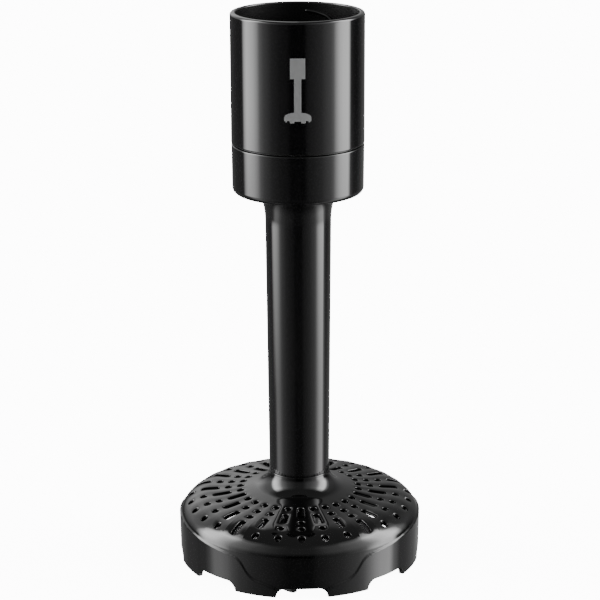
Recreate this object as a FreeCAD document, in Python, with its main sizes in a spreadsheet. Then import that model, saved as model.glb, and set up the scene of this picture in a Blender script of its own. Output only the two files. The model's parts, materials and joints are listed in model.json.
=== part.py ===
import FreeCAD, Part
import math
import os
import Sketcher

# Potato-masher attachment for a hand blender, standing on its foot.
# Millimetres. +Z is the spin axis, pointing up to the socket that takes the motor handle.
# The origin is the middle of the foot's rim, on the surface that it stands on.
# The front, which carries the printed symbol, faces -Y.

SIZES = {
    # the surface that the foot stands on, and where the rim's cutters start
    "ground": 0.0,
    "below": -1.0,
    # drive collar: the upper shell and its socket for the motor handle
    "collar_outer": 30.0,
    "collar_inner": 27.5,
    "mouth_low": 253.7,
    "socket_foot": 27.2,
    "collar_low": 198.2,
    "collar_top": 256.7,
    "collar_edge": 0.7,
    "seat_inner": 25.5,
    "seat_low": 226.0,
    "seat_top": 228.0,
    "rib_inner": 26.2,
    "rib_root": 27.8,
    "rib_low": 236.0,
    "rib_crook": 251.2,
    "rib_top": 253.2,
    "rib_post_start": 54.8,
    "rib_post_sweep": 3.5,
    "rib_arm_start": 58.3,
    "rib_arm_sweep": 27.7,
    # socket floor with the hub of the input shaft
    "floor_outer": 27.35,
    "floor_low": 222.0,
    "floor_hub": 8.0,
    "floor_hub_top": 233.0,
    "floor_bore": 5.0,
    "input_radius": 3.0,
    "input_low": 213.7,
    "input_top": 236.0,
    "press_gap": 0.03,
    "bush_bore": 3.05,
    "input_bush_top": 230.4,
    "input_seal_low": 230.6,
    "coupling_low": 233.3,
    "coupling_top": 242.0,
    "coupling_outer": 6.5,
    "coupling_web": 236.3,
    "coupling_lead": 239.0,
    "coupling_pilot": 4.6,
    "star_outer": 4.2,
    "star_inner": 3.2,
    # gearbox base: flange, spigot and three locking lugs
    "base_low": 197.8,
    "base_top": 201.2,
    "base_outer": 27.3,
    "base_flange": 29.0,
    "base_bore": 8.0,
    "spigot_outer": 26.6,
    "spigot_inner": 24.95,
    "spigot_low": 187.0,
    "lug_outer": 28.2,
    "lug_low": 188.0,
    "lug_top": 191.4,
    "lug_sweep": 14.0,
    "lug_first": 23.0,
    # screws
    "screw_circle": 22.6,
    "screw_radius": 1.25,
    "screw_hole": 1.4,
    "screw_head": 2.2,
    "screw_head_low": 196.0,
    "screw_top": 225.2,
    "screw_first": 60.0,
    # planetary gears, two equal stages
    "gear_module": 0.7,
    "gear_backlash": 0.14,
    "gear_bore": 3.03,
    "planet_bore": 1.8,
    "pin_radius": 1.75,
    "gear_width": 7.0,
    "stage_one_low": 213.7,
    "stage_two_low": 204.0,
    "ring_low": 201.3,
    "ring_top": 221.9,
    "ring_outer": 27.35,
    "carrier_outer": 17.2,
    "carrier_one_low": 211.3,
    "carrier_one_top": 213.4,
    "carrier_two_low": 201.5,
    "carrier_two_top": 203.7,
    "carrier_hub": 7.95,
    "carrier_hub_low": 192.0,
    # drive shaft
    "shaft_radius": 3.0,
    "shaft_low": 8.0,
    "shaft_round_low": 22.5,
    "shaft_round_top": 191.8,
    "shaft_top": 199.3,
    "shaft_hex": 2.95,
    "socket_hex": 3.1,
    "socket_top": 199.6,
    "clip_low": 180.4,
    "clip_thick": 0.9,
    "clip_groove": 2.5,
    "clip_inner": 2.55,
    "clip_outer": 5.2,
    # cup, which takes the gearbox base, and the stem that carries it on a flange
    "cup_outer": 29.9,
    "cup_foot": 29.75,
    "cup_inner": 27.0,
    "cup_low": 175.2,
    "cup_floor": 178.0,
    "cup_top": 197.6,
    "cup_round": 2.0,
    "cup_edge": 0.4,
    "slot_outer": 28.6,
    "slot_low": 187.5,
    "slot_top": 191.9,
    "slot_play": 1.0,
    "unlock_turn": 25.0,
    "stem_flange": 19.3,
    "stem_flange_low": 174.8,
    "stem_flare": 15.7,
    "stem_flare_low": 168.5,
    "stem_neck": 15.0,
    "stem_neck_height": 161.0,
    "stem_foot": 14.0,
    "stem_low": 41.8,
    "stem_inner": 10.8,
    "stem_web": 172.0,
    "stem_round": 3.2,
    "bush_outer": 7.0,
    "upper_bush_flange": 9.0,
    "upper_bush_top": 179.6,
    # foot: perforated masher head
    "foot_clock": 1.0,
    "foot_hub": 14.1,
    "foot_hub_top": 41.6,
    "foot_hub_corner": 34.9,
    "foot_hub_round": 6.2,
    "foot_crease": 28.0,
    "foot_crease_height": 31.8,
    "foot_shoulder": 29.3,
    "foot_shoulder_round": 11.8,
    "foot_outer": 56.6,
    "foot_rim_outer": 56.3,
    "foot_wall": 2.3,
    "foot_inner_round": 9.5,
    "foot_spigot": 10.7,
    "foot_spigot_top": 54.0,
    "foot_tube": 10.0,
    "foot_tube_low": 21.0,
    "lower_bush_low": 34.0,
    "lower_bush_top": 52.0,
    "seal_low": 23.0,
    "seal_top": 31.0,
    "hole_radius": 1.65,
    "station_a": 27.8,
    "station_b": 33.6,
    "station_c": 39.4,
    "station_d": 45.2,
    "station_e": 51.0,
    "hole_sketch_height": 42.0,
    "notch_top": 4.4,
    "notch_half_low": 12.1,
    "notch_half_top": 8.8,
    "tongue_radius": 56.1,
    "tongue_reach": 60.0,
    "tongue_top": 17.2,
    "tongue_over": 18.2,
    "tongue_half_top": 31.0,
    "tongue_half_waist": 23.5,
    "tongue_waist": 8.5,
    "tongue_half_low": 12.1,
    "tongue_low": 4.0,
    # paddle
    "paddle_hub": 9.0,
    "paddle_hub_low": 4.5,
    "paddle_hub_top": 20.4,
    "paddle_low": 1.0,
    "paddle_tip": 53.0,
    "paddle_tip_top": 17.0,
    "paddle_shoulder": 43.0,
    "paddle_shoulder_top": 24.5,
    "paddle_crown": 26.5,
    "paddle_throat": 11.4,
    "paddle_thick": 2.8,
    "paddle_sag": 15.0,
    "paddle_aim": 268.5,
    "grip_low": 5.6,
    "grip_top": 7.6,
    "grip_outer": 5.0,
    "grip_bore": 3.5,
}

SUN_TEETH = 18
PLANET_TEETH = 18
RING_TEETH = SUN_TEETH + 2 * PLANET_TEETH
PRESSURE_ANGLE = math.radians(20)
TIP_SHARE = 0.9
ROOT_SHARE = 1.2
FLANK_STEPS = 4
PLANETS = 3
LUGS = 3
SCREWS = 3
RIBS = 2
COUPLING_FLUTES = 6
BLADES = 2
NOTCHES = 8
COLUMNS = 30
COLUMNS_PER_WAVE = 6
STATIONS = ["station_a", "station_b", "station_c", "station_d", "station_e"]
FULL_TURN = 360.0

doc = FreeCAD.newDocument("masher_attachment")
sheet = doc.addObject("Spreadsheet::Sheet", "sizes")
for row, (alias, value) in enumerate(SIZES.items(), start=1):
    sheet.set("A%d" % row, alias)
    sheet.set("B%d" % row, str(value))
    sheet.setAlias("B%d" % row, alias)
doc.recompute()

pieces = []


def number(text):
    """The value of a sum or difference of driving dimensions, such as 'cup_outer - foot_wall'."""
    total = 0.0
    sign = 1.0
    for word in text.split():
        if word in "+-":
            sign = 1.0 if word == "+" else -1.0
        else:
            total += sign * getattr(sheet, word)
    return total


def formula(text):
    """The same sum as an expression on the sheet."""
    return " ".join(word if word in "+-" else "sizes." + word for word in text.split())


def bind(item, **sizes):
    for prop, text in sizes.items():
        item.setExpression(prop, formula(text))


def turn(item, degrees_text):
    """Turn an object about +Z by a formula in degrees."""
    item.setExpression("Placement.Rotation.Angle", "(%s) * 1 deg" % degrees_text)


def keep(item, label):
    item.Label = label
    pieces.append(item)
    return item


# ---------- sketches and bodies ----------

def new_body(name):
    return doc.addObject("PartDesign::Body", name)


def new_sketch(body, name, role, height="", turned=0.0):
    """A sketch on one of the body's own origin planes, raised and turned about the plane's normal."""
    sketch = body.newObject("Sketcher::SketchObject", name)
    plane = [item for item in body.Origin.OriginFeatures if item.Role == role][0]
    sketch.AttachmentSupport = [(plane, "")]
    sketch.MapMode = "FlatFace"
    sketch.AttachmentOffset = FreeCAD.Placement(
        FreeCAD.Vector(0, 0, 0), FreeCAD.Rotation(FreeCAD.Vector(0, 0, 1), turned))
    if height:
        sketch.setExpression("AttachmentOffset.Base.z", formula(height))
    return sketch


def fix_point(sketch, line, end, across, up):
    """Hold one end of a line at a place given by two formulas."""
    for kind, text in (("DistanceX", across), ("DistanceY", up)):
        index = sketch.addConstraint(Sketcher.Constraint(kind, -1, 1, line, end, number(text)))
        sketch.setExpression("Constraints[%d]" % index, formula(text))


def add_outline(sketch, corners):
    """A closed outline of straight lines through corners, each two formulas."""
    spots = [FreeCAD.Vector(number(a), number(b), 0) for a, b in corners]
    for index, spot in enumerate(spots):
        sketch.addGeometry(Part.LineSegment(spot, spots[(index + 1) % len(spots)]), False)
    for index, (across, up) in enumerate(corners):
        following = (index + 1) % len(corners)
        sketch.addConstraint(Sketcher.Constraint("Coincident", index, 2, following, 1))
        fix_point(sketch, index, 1, across, up)


def add_circle(sketch, across, radius):
    """A circle with its middle on the sketch's horizontal axis."""
    spot = FreeCAD.Vector(number(across), 0, 0)
    circle = sketch.addGeometry(Part.Circle(spot, FreeCAD.Vector(0, 0, 1), number(radius)), False)
    sketch.addConstraint(Sketcher.Constraint("PointOnObject", circle, 3, -1))
    place = sketch.addConstraint(Sketcher.Constraint("DistanceX", -1, 1, circle, 3, spot.x))
    sketch.setExpression("Constraints[%d]" % place, formula(across))
    size = sketch.addConstraint(Sketcher.Constraint("Radius", circle, number(radius)))
    sketch.setExpression("Constraints[%d]" % size, formula(radius))


def add_slot(sketch, start, end, radius):
    """A round-ended slot along the sketch's horizontal axis."""
    left = number(start)
    right = number(end)
    half = number(radius)
    up = FreeCAD.Vector(0, 0, 1)
    quarter = math.pi / 2
    top = sketch.addGeometry(Part.LineSegment(
        FreeCAD.Vector(left, half, 0), FreeCAD.Vector(right, half, 0)), False)
    cap = sketch.addGeometry(Part.ArcOfCircle(
        Part.Circle(FreeCAD.Vector(right, 0, 0), up, half), -quarter, quarter), False)
    base = sketch.addGeometry(Part.LineSegment(
        FreeCAD.Vector(right, -half, 0), FreeCAD.Vector(left, -half, 0)), False)
    tail = sketch.addGeometry(Part.ArcOfCircle(
        Part.Circle(FreeCAD.Vector(left, 0, 0), up, half), quarter, 3 * quarter), False)
    sketch.addConstraint(Sketcher.Constraint("Tangent", top, 2, cap, 2))
    sketch.addConstraint(Sketcher.Constraint("Tangent", cap, 1, base, 1))
    sketch.addConstraint(Sketcher.Constraint("Tangent", base, 2, tail, 2))
    sketch.addConstraint(Sketcher.Constraint("Tangent", tail, 1, top, 1))
    for arc, text in ((cap, end), (tail, start)):
        sketch.addConstraint(Sketcher.Constraint("PointOnObject", arc, 3, -1))
        place = sketch.addConstraint(Sketcher.Constraint("DistanceX", -1, 1, arc, 3, number(text)))
        sketch.setExpression("Constraints[%d]" % place, formula(text))
    size = sketch.addConstraint(Sketcher.Constraint("Radius", cap, half))
    sketch.setExpression("Constraints[%d]" % size, formula(radius))


def revolve(body, name, corners):
    """Spin an outline of (radius, height) corners about the spin axis."""
    sketch = new_sketch(body, name + "_outline", "XZ_Plane")
    add_outline(sketch, corners)
    spin = body.newObject("PartDesign::Revolution", name)
    spin.Profile = sketch
    spin.ReferenceAxis = (sketch, ["V_Axis"])
    spin.Angle = FULL_TURN
    return spin


def turned_body(name, corners):
    body = new_body(name)
    revolve(body, name + "_turning", corners)
    return body


def tube_corners(inner, outer, low, high):
    return [(inner, low), (outer, low), (outer, high), (inner, high)]


def turned_tube(label, inner, outer, low, high):
    return keep(turned_body(label, tube_corners(inner, outer, low, high)), label)


def round_edge(body, name, radius_of_edge, height, size):
    """Fillet the body's circular edges that have the given radius and height."""
    doc.recompute()
    shape = body.Tip.Shape
    found = []
    for index, edge in enumerate(shape.Edges, start=1):
        box = edge.BoundBox
        same_height = abs(box.ZMin - number(height)) < 0.02 and box.ZLength < 0.02
        if same_height and abs(box.XLength / 2 - number(radius_of_edge)) < 0.02:
            found.append("Edge%d" % index)
    base = body.Tip
    fillet = body.newObject("PartDesign::Fillet", name)
    fillet.Base = (base, found)
    bind(fillet, Radius=size)
    return fillet


def polar_pattern(body, name, originals, count, angle=FULL_TURN):
    pattern = body.newObject("PartDesign::PolarPattern", name)
    pattern.Originals = originals
    axis = [item for item in body.Origin.OriginFeatures if item.Role == "Z_Axis"][0]
    pattern.Axis = (axis, [""])
    pattern.Angle = angle
    pattern.Occurrences = count
    body.Tip = pattern
    return pattern


# ---------- solids made from primitives ----------

def cylinder(name, radius, low, high):
    item = doc.addObject("Part::Cylinder", name)
    bind(item, Radius=radius, Height="%s - %s" % (high, low))
    item.setExpression("Placement.Base.z", formula(low))
    return item


def hexagon(name, radius, low, high):
    item = doc.addObject("Part::Prism", name)
    item.Polygon = 6
    bind(item, Circumradius=radius, Height="%s - %s" % (high, low))
    item.setExpression("Placement.Base.z", formula(low))
    return item


def sector(name, inner, outer, low, high, start, sweep):
    """A block between two radii and two heights; start and sweep are expressions in degrees."""
    shell = cylinder(name + "_outside", outer, low, high)
    shell.setExpression("Angle", "(%s) * 1 deg" % sweep)
    turn(shell, start)
    core = cylinder(name + "_inside", inner, low, high)
    block = doc.addObject("Part::Cut", name)
    block.Base = shell
    block.Tool = core
    return block


def fuse(name, items):
    joined = doc.addObject("Part::MultiFuse", name)
    joined.Shapes = items
    return joined


def cut(name, base, tool):
    result = doc.addObject("Part::Cut", name)
    result.Base = base
    result.Tool = tool
    return result


def group(name, items):
    bunch = doc.addObject("Part::Compound", name)
    bunch.Links = items
    return bunch


def put_on_circle(item, circle, angle):
    """Move an object out along a direction of the plan; angle is an expression in degrees."""
    item.setExpression("Placement.Base.x", "%s * cos(%s)" % (formula(circle), angle))
    item.setExpression("Placement.Base.y", "%s * sin(%s)" % (formula(circle), angle))


# ---------- drive collar and its socket ----------

def make_drive_collar():
    body = turned_body("collar_shell", [
        ("collar_outer", "collar_low"), ("collar_outer", "collar_top"),
        ("collar_inner", "collar_top"), ("collar_inner", "mouth_low"),
        ("socket_foot", "seat_top"), ("seat_inner", "seat_top"), ("seat_inner", "seat_low"),
        ("collar_inner", "seat_low"), ("collar_inner", "collar_low")])
    round_edge(body, "collar_rim_outside", "collar_outer", "collar_top", "collar_edge")
    round_edge(body, "collar_rim_inside", "collar_inner", "collar_top", "collar_edge")
    parts = [body]
    for index in range(RIBS):
        around = index * FULL_TURN / RIBS
        parts.append(sector(
            "bayonet_post_%d" % (index + 1), "rib_inner", "rib_root", "rib_low", "rib_top",
            "sizes.rib_post_start + %g" % around, "sizes.rib_post_sweep"))
        parts.append(sector(
            "bayonet_arm_%d" % (index + 1), "rib_inner", "rib_root", "rib_crook", "rib_top",
            "sizes.rib_arm_start - sizes.rib_post_sweep + %g" % around, "sizes.rib_arm_sweep"))
    keep(fuse("drive_collar", parts), "drive_collar")


def make_socket_floor():
    body = turned_body("floor_disc", [
        ("floor_bore", "floor_low"), ("floor_outer", "floor_low"), ("floor_outer", "seat_low"),
        ("floor_hub", "seat_low"), ("floor_hub", "floor_hub_top"), ("floor_bore", "floor_hub_top")])
    keep(cut("socket_floor", body, screw_shanks("floor_screw_hole", "screw_hole", "floor_low",
                                                "screw_top + press_gap")), "socket_floor")


def make_input_parts():
    turned_tube("input_bush", "bush_bore", "floor_bore - press_gap", "floor_low", "input_bush_top")
    turned_tube("input_seal", "bush_bore", "floor_bore - press_gap", "input_seal_low",
                "floor_hub_top")
    keep(cylinder("input_shaft", "input_radius", "input_low", "input_top"), "input_shaft")
    body = turned_body("coupling_blank", [
        ("input_radius + press_gap", "coupling_low"), ("coupling_outer", "coupling_low"),
        ("coupling_outer", "coupling_top"), ("coupling_pilot", "coupling_top"),
        ("coupling_pilot", "coupling_lead"), ("input_radius + press_gap", "coupling_lead")])
    teeth = []
    for index in range(COUPLING_FLUTES):
        tooth = hexagon("coupling_flute_%d" % (index + 1), "star_outer - star_inner",
                        "coupling_web", "coupling_lead")
        put_on_circle(tooth, "star_inner", "%g" % (index * FULL_TURN / COUPLING_FLUTES))
        teeth.append(tooth)
    keep(cut("input_coupling", body, fuse("coupling_flutes", teeth)), "input_coupling")


# ---------- gearbox base, ring and screws ----------

def screw_shanks(name, radius, low, high):
    """Three upright cylinders on the screw circle."""
    shanks = []
    for index in range(SCREWS):
        shank = cylinder("%s_%d" % (name, index + 1), radius, low, high)
        put_on_circle(shank, "screw_circle", "sizes.screw_first + %g" % (index * FULL_TURN / SCREWS))
        shanks.append(shank)
    return fuse(name + "s", shanks)


def make_gearbox_base():
    body = turned_body("base_disc", [
        ("base_bore", "base_low"), ("spigot_inner", "base_low"), ("spigot_inner", "spigot_low"),
        ("spigot_outer", "spigot_low"), ("spigot_outer", "base_low"), ("base_flange", "base_low"),
        ("base_flange", "collar_low"), ("base_outer", "collar_low"), ("base_outer", "base_top"),
        ("base_bore", "base_top")])
    parts = [body]
    for index in range(LUGS):
        start = "sizes.lug_first + %g" % (index * FULL_TURN / LUGS)
        parts.append(sector("locking_lug_%d" % (index + 1), "spigot_inner", "lug_outer",
                            "lug_low", "lug_top", start, "sizes.lug_sweep"))
    holes = screw_shanks("base_screw_hole", "screw_hole", "base_low", "base_top")
    keep(cut("gearbox_base", fuse("base_with_lugs", parts), holes), "gearbox_base")


def make_gearbox_screws():
    shanks = screw_shanks("screw_shank", "screw_radius", "screw_head_low", "screw_top")
    heads = screw_shanks("screw_head", "screw_head", "screw_head_low", "base_low")
    keep(fuse("gearbox_screws", [shanks, heads]), "gearbox_screws")


# ---------- gears ----------

def flank_half_angle(radius, pitch_radius, teeth, thinning):
    """Half the angle of a tooth at a radius, on an involute of the pressure angle."""
    base_radius = pitch_radius * math.cos(PRESSURE_ANGLE)
    lean = math.acos(min(1.0, base_radius / radius))
    rolled = math.tan(lean) - lean
    rolled_at_pitch = math.tan(PRESSURE_ANGLE) - PRESSURE_ANGLE
    return math.pi / (2 * teeth) + rolled_at_pitch - rolled - thinning / (2 * pitch_radius)


def gear_face(teeth, tip, root, thinning, tooth_at):
    """A toothed face with a tooth at the angle tooth_at, in radians."""
    pitch_radius = teeth * sheet.gear_module / 2
    points = []
    for index in range(teeth):
        middle = tooth_at + index * 2 * math.pi / teeth
        radii = [root + (tip - root) * step / FLANK_STEPS for step in range(FLANK_STEPS + 1)]
        left = [(r, middle - flank_half_angle(r, pitch_radius, teeth, thinning)) for r in radii]
        right = [(r, 2 * middle - angle) for r, angle in reversed(left)]
        for r, angle in left + right:
            points.append(FreeCAD.Vector(r * math.cos(angle), r * math.sin(angle), 0))
    points.append(points[0])
    return Part.Face(Part.makePolygon(points))


def make_gear(label, teeth, bore, low, tooth_at, at=None):
    """An outside-toothed gear; at is the angle of a planet's axis on the planet circle."""
    pitch_radius = teeth * sheet.gear_module / 2
    tip = pitch_radius + TIP_SHARE * sheet.gear_module
    root = pitch_radius - ROOT_SHARE * sheet.gear_module
    width = sheet.gear_width
    up = FreeCAD.Vector(0, 0, width)
    solid = gear_face(teeth, tip, root, sheet.gear_backlash, tooth_at).extrude(up)
    solid = solid.cut(Part.makeCylinder(number(bore), width))
    gear = doc.addObject("Part::Feature", label)
    gear.Shape = solid
    gear.Placement = FreeCAD.Placement()
    gear.setExpression("Placement.Base.z", formula(low))
    if at is not None:
        gear.setExpression("Placement.Base.x", "%g * sizes.gear_module * cos(%g)" % (
            (SUN_TEETH + PLANET_TEETH) / 2, at))
        gear.setExpression("Placement.Base.y", "%g * sizes.gear_module * sin(%g)" % (
            (SUN_TEETH + PLANET_TEETH) / 2, at))
        turn(gear, "%g" % at)
    return keep(gear, label)


def make_ring_gear():
    pitch_radius = RING_TEETH * sheet.gear_module / 2
    tip = pitch_radius + ROOT_SHARE * sheet.gear_module
    root = pitch_radius - TIP_SHARE * sheet.gear_module
    height = number("ring_top - ring_low")
    half_step = math.pi / RING_TEETH
    space = gear_face(RING_TEETH, tip, root, -sheet.gear_backlash, half_step)
    blank = Part.makeCylinder(sheet.ring_outer, height)
    solid = blank.cut(space.extrude(FreeCAD.Vector(0, 0, height)))
    for index in range(SCREWS):
        angle = math.radians(sheet.screw_first + index * FULL_TURN / SCREWS)
        spot = FreeCAD.Vector(math.cos(angle), math.sin(angle), 0) * sheet.screw_circle
        solid = solid.cut(Part.makeCylinder(sheet.screw_hole, height, spot))
    ring = doc.addObject("Part::Feature", "ring_gear")
    ring.Shape = solid
    ring.Placement = FreeCAD.Placement()
    ring.setExpression("Placement.Base.z", formula("ring_low"))
    keep(ring, "ring_gear")


def make_planet_stage(stage, low, pin_low, pin_high):
    """Three planet gears, each a piece of its own, and their three pins."""
    pins = []
    for index in range(PLANETS):
        at = index * FULL_TURN / PLANETS
        letter = "abc"[index]
        gap_faces_sun = math.pi / PLANET_TEETH
        make_gear("planet_%s_%s" % (stage, letter), PLANET_TEETH, "planet_bore", low,
                  gap_faces_sun, at)
        pin = cylinder("pin_%s_%s" % (stage, letter), "pin_radius", pin_low, pin_high)
        reach = (SUN_TEETH + PLANET_TEETH) / 2
        pin.setExpression("Placement.Base.x", "%g * sizes.gear_module * cos(%g)" % (reach, at))
        pin.setExpression("Placement.Base.y", "%g * sizes.gear_module * sin(%g)" % (reach, at))
        pins.append(pin)
    label = "planet_pins_%s" % stage
    keep(group(label, pins), label)


def make_carriers():
    keep(turned_body("first_carrier", [
        ("ground", "stage_two_low"), ("input_radius", "stage_two_low"),
        ("input_radius", "carrier_one_low"), ("carrier_outer", "carrier_one_low"),
        ("carrier_outer", "carrier_one_top"), ("ground", "carrier_one_top")]),
        "first_carrier")
    body = turned_body("second_carrier_blank", [
        ("ground", "carrier_hub_low"), ("carrier_hub", "carrier_hub_low"),
        ("carrier_hub", "carrier_two_low"), ("carrier_outer", "carrier_two_low"),
        ("carrier_outer", "carrier_two_top"), ("ground", "carrier_two_top")])
    socket = hexagon("shaft_socket", "socket_hex", "carrier_hub_low", "socket_top")
    keep(cut("second_carrier", body, socket), "second_carrier")


# ---------- drive shaft ----------

def make_drive_shaft():
    rod = cylinder("shaft_rod", "shaft_radius", "shaft_round_low", "shaft_round_top")
    lower = hexagon("shaft_paddle_end", "shaft_hex", "shaft_low", "shaft_round_low")
    upper = hexagon("shaft_gear_end", "shaft_hex", "shaft_round_top", "shaft_top")
    groove = turned_body("shaft_groove", tube_corners(
        "clip_groove", "clip_outer", "clip_low", "clip_low + clip_thick"))
    keep(cut("drive_shaft", fuse("shaft_blank", [rod, lower, upper]), groove), "drive_shaft")
    disc = turned_body("clip_ring", tube_corners(
        "clip_inner", "clip_outer", "clip_low", "clip_low + clip_thick"))
    gap = doc.addObject("Part::Box", "clip_gap")
    bind(gap, Length="clip_outer + clip_thick", Width="clip_inner + clip_inner",
         Height="clip_thick")
    gap.setExpression("Placement.Base.y", "-sizes.clip_inner")
    gap.setExpression("Placement.Base.z", "sizes.clip_low")
    keep(cut("shaft_clip", disc, gap), "shaft_clip")


# ---------- stem and cup ----------

def make_stem():
    """A tapering tube with a flange under the cup; the upper bush sits in its closed top."""
    body = turned_body("stem", [
        ("stem_flange", "cup_low"), ("stem_flange", "stem_flange_low"),
        ("stem_flare", "stem_flange_low"), ("stem_flare", "stem_flare_low"),
        ("stem_neck", "stem_neck_height"), ("stem_foot", "stem_low"), ("stem_inner", "stem_low"),
        ("stem_inner", "stem_web"), ("bush_outer", "stem_web"), ("bush_outer", "cup_low")])
    round_edge(body, "stem_top_round", "stem_flare", "stem_flange_low", "stem_round")
    keep(body, "stem")


def make_cup():
    """The cup is welded on the stem's flange; three bent slots in its wall take the lugs."""
    body = turned_body("cup_turning", [
        ("cup_inner", "cup_top"), ("cup_outer", "cup_top"), ("cup_foot", "cup_low"),
        ("bush_outer", "cup_low"), ("bush_outer", "cup_floor"), ("cup_inner", "cup_floor")])
    round_edge(body, "cup_bottom_round", "cup_foot", "cup_low", "cup_round")
    round_edge(body, "cup_lip_round", "cup_outer", "cup_top", "cup_edge")
    slots = []
    for index in range(LUGS):
        around = index * FULL_TURN / LUGS
        run = "sizes.lug_first - sizes.slot_play + %g" % around
        slots.append(sector(
            "locking_run_%d" % (index + 1), "spigot_outer", "slot_outer", "slot_low", "slot_top",
            run, "sizes.lug_sweep + sizes.unlock_turn + 2 * sizes.slot_play"))
        entry = "sizes.lug_first - sizes.slot_play + sizes.unlock_turn + %g" % around
        slots.append(sector(
            "locking_entry_%d" % (index + 1), "spigot_outer", "slot_outer", "slot_low",
            "cup_top + cup_edge", entry, "sizes.lug_sweep + 2 * sizes.slot_play"))
    keep(cut("cup", body, fuse("locking_slots", slots)), "cup")


def make_bushes():
    keep(turned_body("upper_bush", [
        ("bush_bore", "stem_web"), ("bush_outer - press_gap", "stem_web"),
        ("bush_outer - press_gap", "cup_floor"), ("upper_bush_flange", "cup_floor"),
        ("upper_bush_flange", "upper_bush_top"), ("bush_bore", "upper_bush_top")]), "upper_bush")
    turned_tube("lower_bush", "bush_bore", "bush_outer - press_gap", "lower_bush_low",
                "lower_bush_top")
    turned_tube("shaft_seal", "bush_bore", "bush_outer - press_gap", "seal_low", "seal_top")


# ---------- foot ----------

def perforation_column(body, index):
    """One row of holes out from the hub; a slot takes the place of two of its five holes.

    The slot steps outwards and back in again from row to row, so the slots draw a zigzag."""
    slot_at = min(index, COLUMNS_PER_WAVE - index)
    sketch = new_sketch(body, "hole_row_%d" % index, "XY_Plane", "hole_sketch_height",
                        index * FULL_TURN / COLUMNS - FULL_TURN / 4)
    for station in STATIONS[:slot_at] + STATIONS[slot_at + 2:]:
        add_circle(sketch, station, "hole_radius")
    add_slot(sketch, STATIONS[slot_at], STATIONS[slot_at + 1], "hole_radius")
    pocket = body.newObject("PartDesign::Pocket", "hole_row_cut_%d" % index)
    pocket.Profile = sketch
    pocket.Type = "ThroughAll"
    return pocket


def make_foot():
    body = new_body("foot_turning")
    revolve(body, "foot_dome", [
        ("bush_outer", "foot_tube_low"), ("foot_tube", "foot_tube_low"),
        ("foot_tube", "foot_hub_corner - foot_wall"),
        ("foot_crease", "foot_crease_height - foot_wall"),
        ("foot_outer - foot_wall", "foot_shoulder - foot_wall"),
        ("foot_rim_outer - foot_wall", "ground"),
        ("foot_rim_outer", "ground"), ("foot_outer", "foot_shoulder"),
        ("foot_crease", "foot_crease_height"), ("foot_hub", "foot_hub_corner"),
        ("foot_hub", "foot_hub_top"), ("foot_spigot", "foot_hub_top"),
        ("foot_spigot", "foot_spigot_top"), ("bush_outer", "foot_spigot_top")])
    round_edge(body, "foot_shoulder_round", "foot_outer", "foot_shoulder", "foot_shoulder_round")
    round_edge(body, "foot_inside_round", "foot_outer - foot_wall", "foot_shoulder - foot_wall",
               "foot_inner_round")
    round_edge(body, "foot_hub_round", "foot_hub", "foot_hub_corner", "foot_hub_round")
    doc.recompute()
    for index in range(COLUMNS_PER_WAVE):
        row = perforation_column(body, index)
        polar_pattern(body, "hole_rows_%d" % index, [row], COLUMNS // COLUMNS_PER_WAVE)
        doc.recompute()
    notch_sketch = new_sketch(body, "rim_notch", "XZ_Plane")
    add_outline(notch_sketch, [
        ("ground - notch_half_low", "below"), ("notch_half_low", "below"),
        ("notch_half_top", "notch_top"), ("ground - notch_half_top", "notch_top")])
    notch = body.newObject("PartDesign::Pocket", "rim_notch_cut")
    notch.Profile = notch_sketch
    notch.Type = "ThroughAll"
    notch.Midplane = True
    polar_pattern(body, "rim_notches", [notch], NOTCHES // 2, FULL_TURN / 2 * (1 - 2 / NOTCHES))
    skin = cut("skirt_skin", cylinder("skirt_outside", "tongue_reach", "below", "tongue_over"),
               cylinder("skirt_inside", "tongue_radius", "below", "tongue_over"))
    tongue_body = new_body("tongue_prism")
    tongue_sketch = new_sketch(tongue_body, "tongue_outline", "XZ_Plane")
    add_outline(tongue_sketch, [
        ("ground - tongue_half_low", "below"), ("tongue_half_low", "below"),
        ("tongue_half_low", "tongue_low"), ("tongue_half_waist", "tongue_waist"),
        ("tongue_half_top", "tongue_top"), ("ground - tongue_half_top", "tongue_top"),
        ("ground - tongue_half_waist", "tongue_waist"), ("ground - tongue_half_low", "tongue_low")])
    tongue_pad = tongue_body.newObject("PartDesign::Pad", "tongue_pad")
    tongue_pad.Profile = tongue_sketch
    bind(tongue_pad, Length="tongue_reach + tongue_reach")
    tongue_pad.Midplane = True
    relief = doc.addObject("Part::Common", "tongue_relief")
    relief.Base = skin
    relief.Tool = tongue_body
    foot = keep(cut("masher_foot", body, relief), "masher_foot")
    turn(foot, "sizes.foot_clock")


# ---------- paddle ----------

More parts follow.
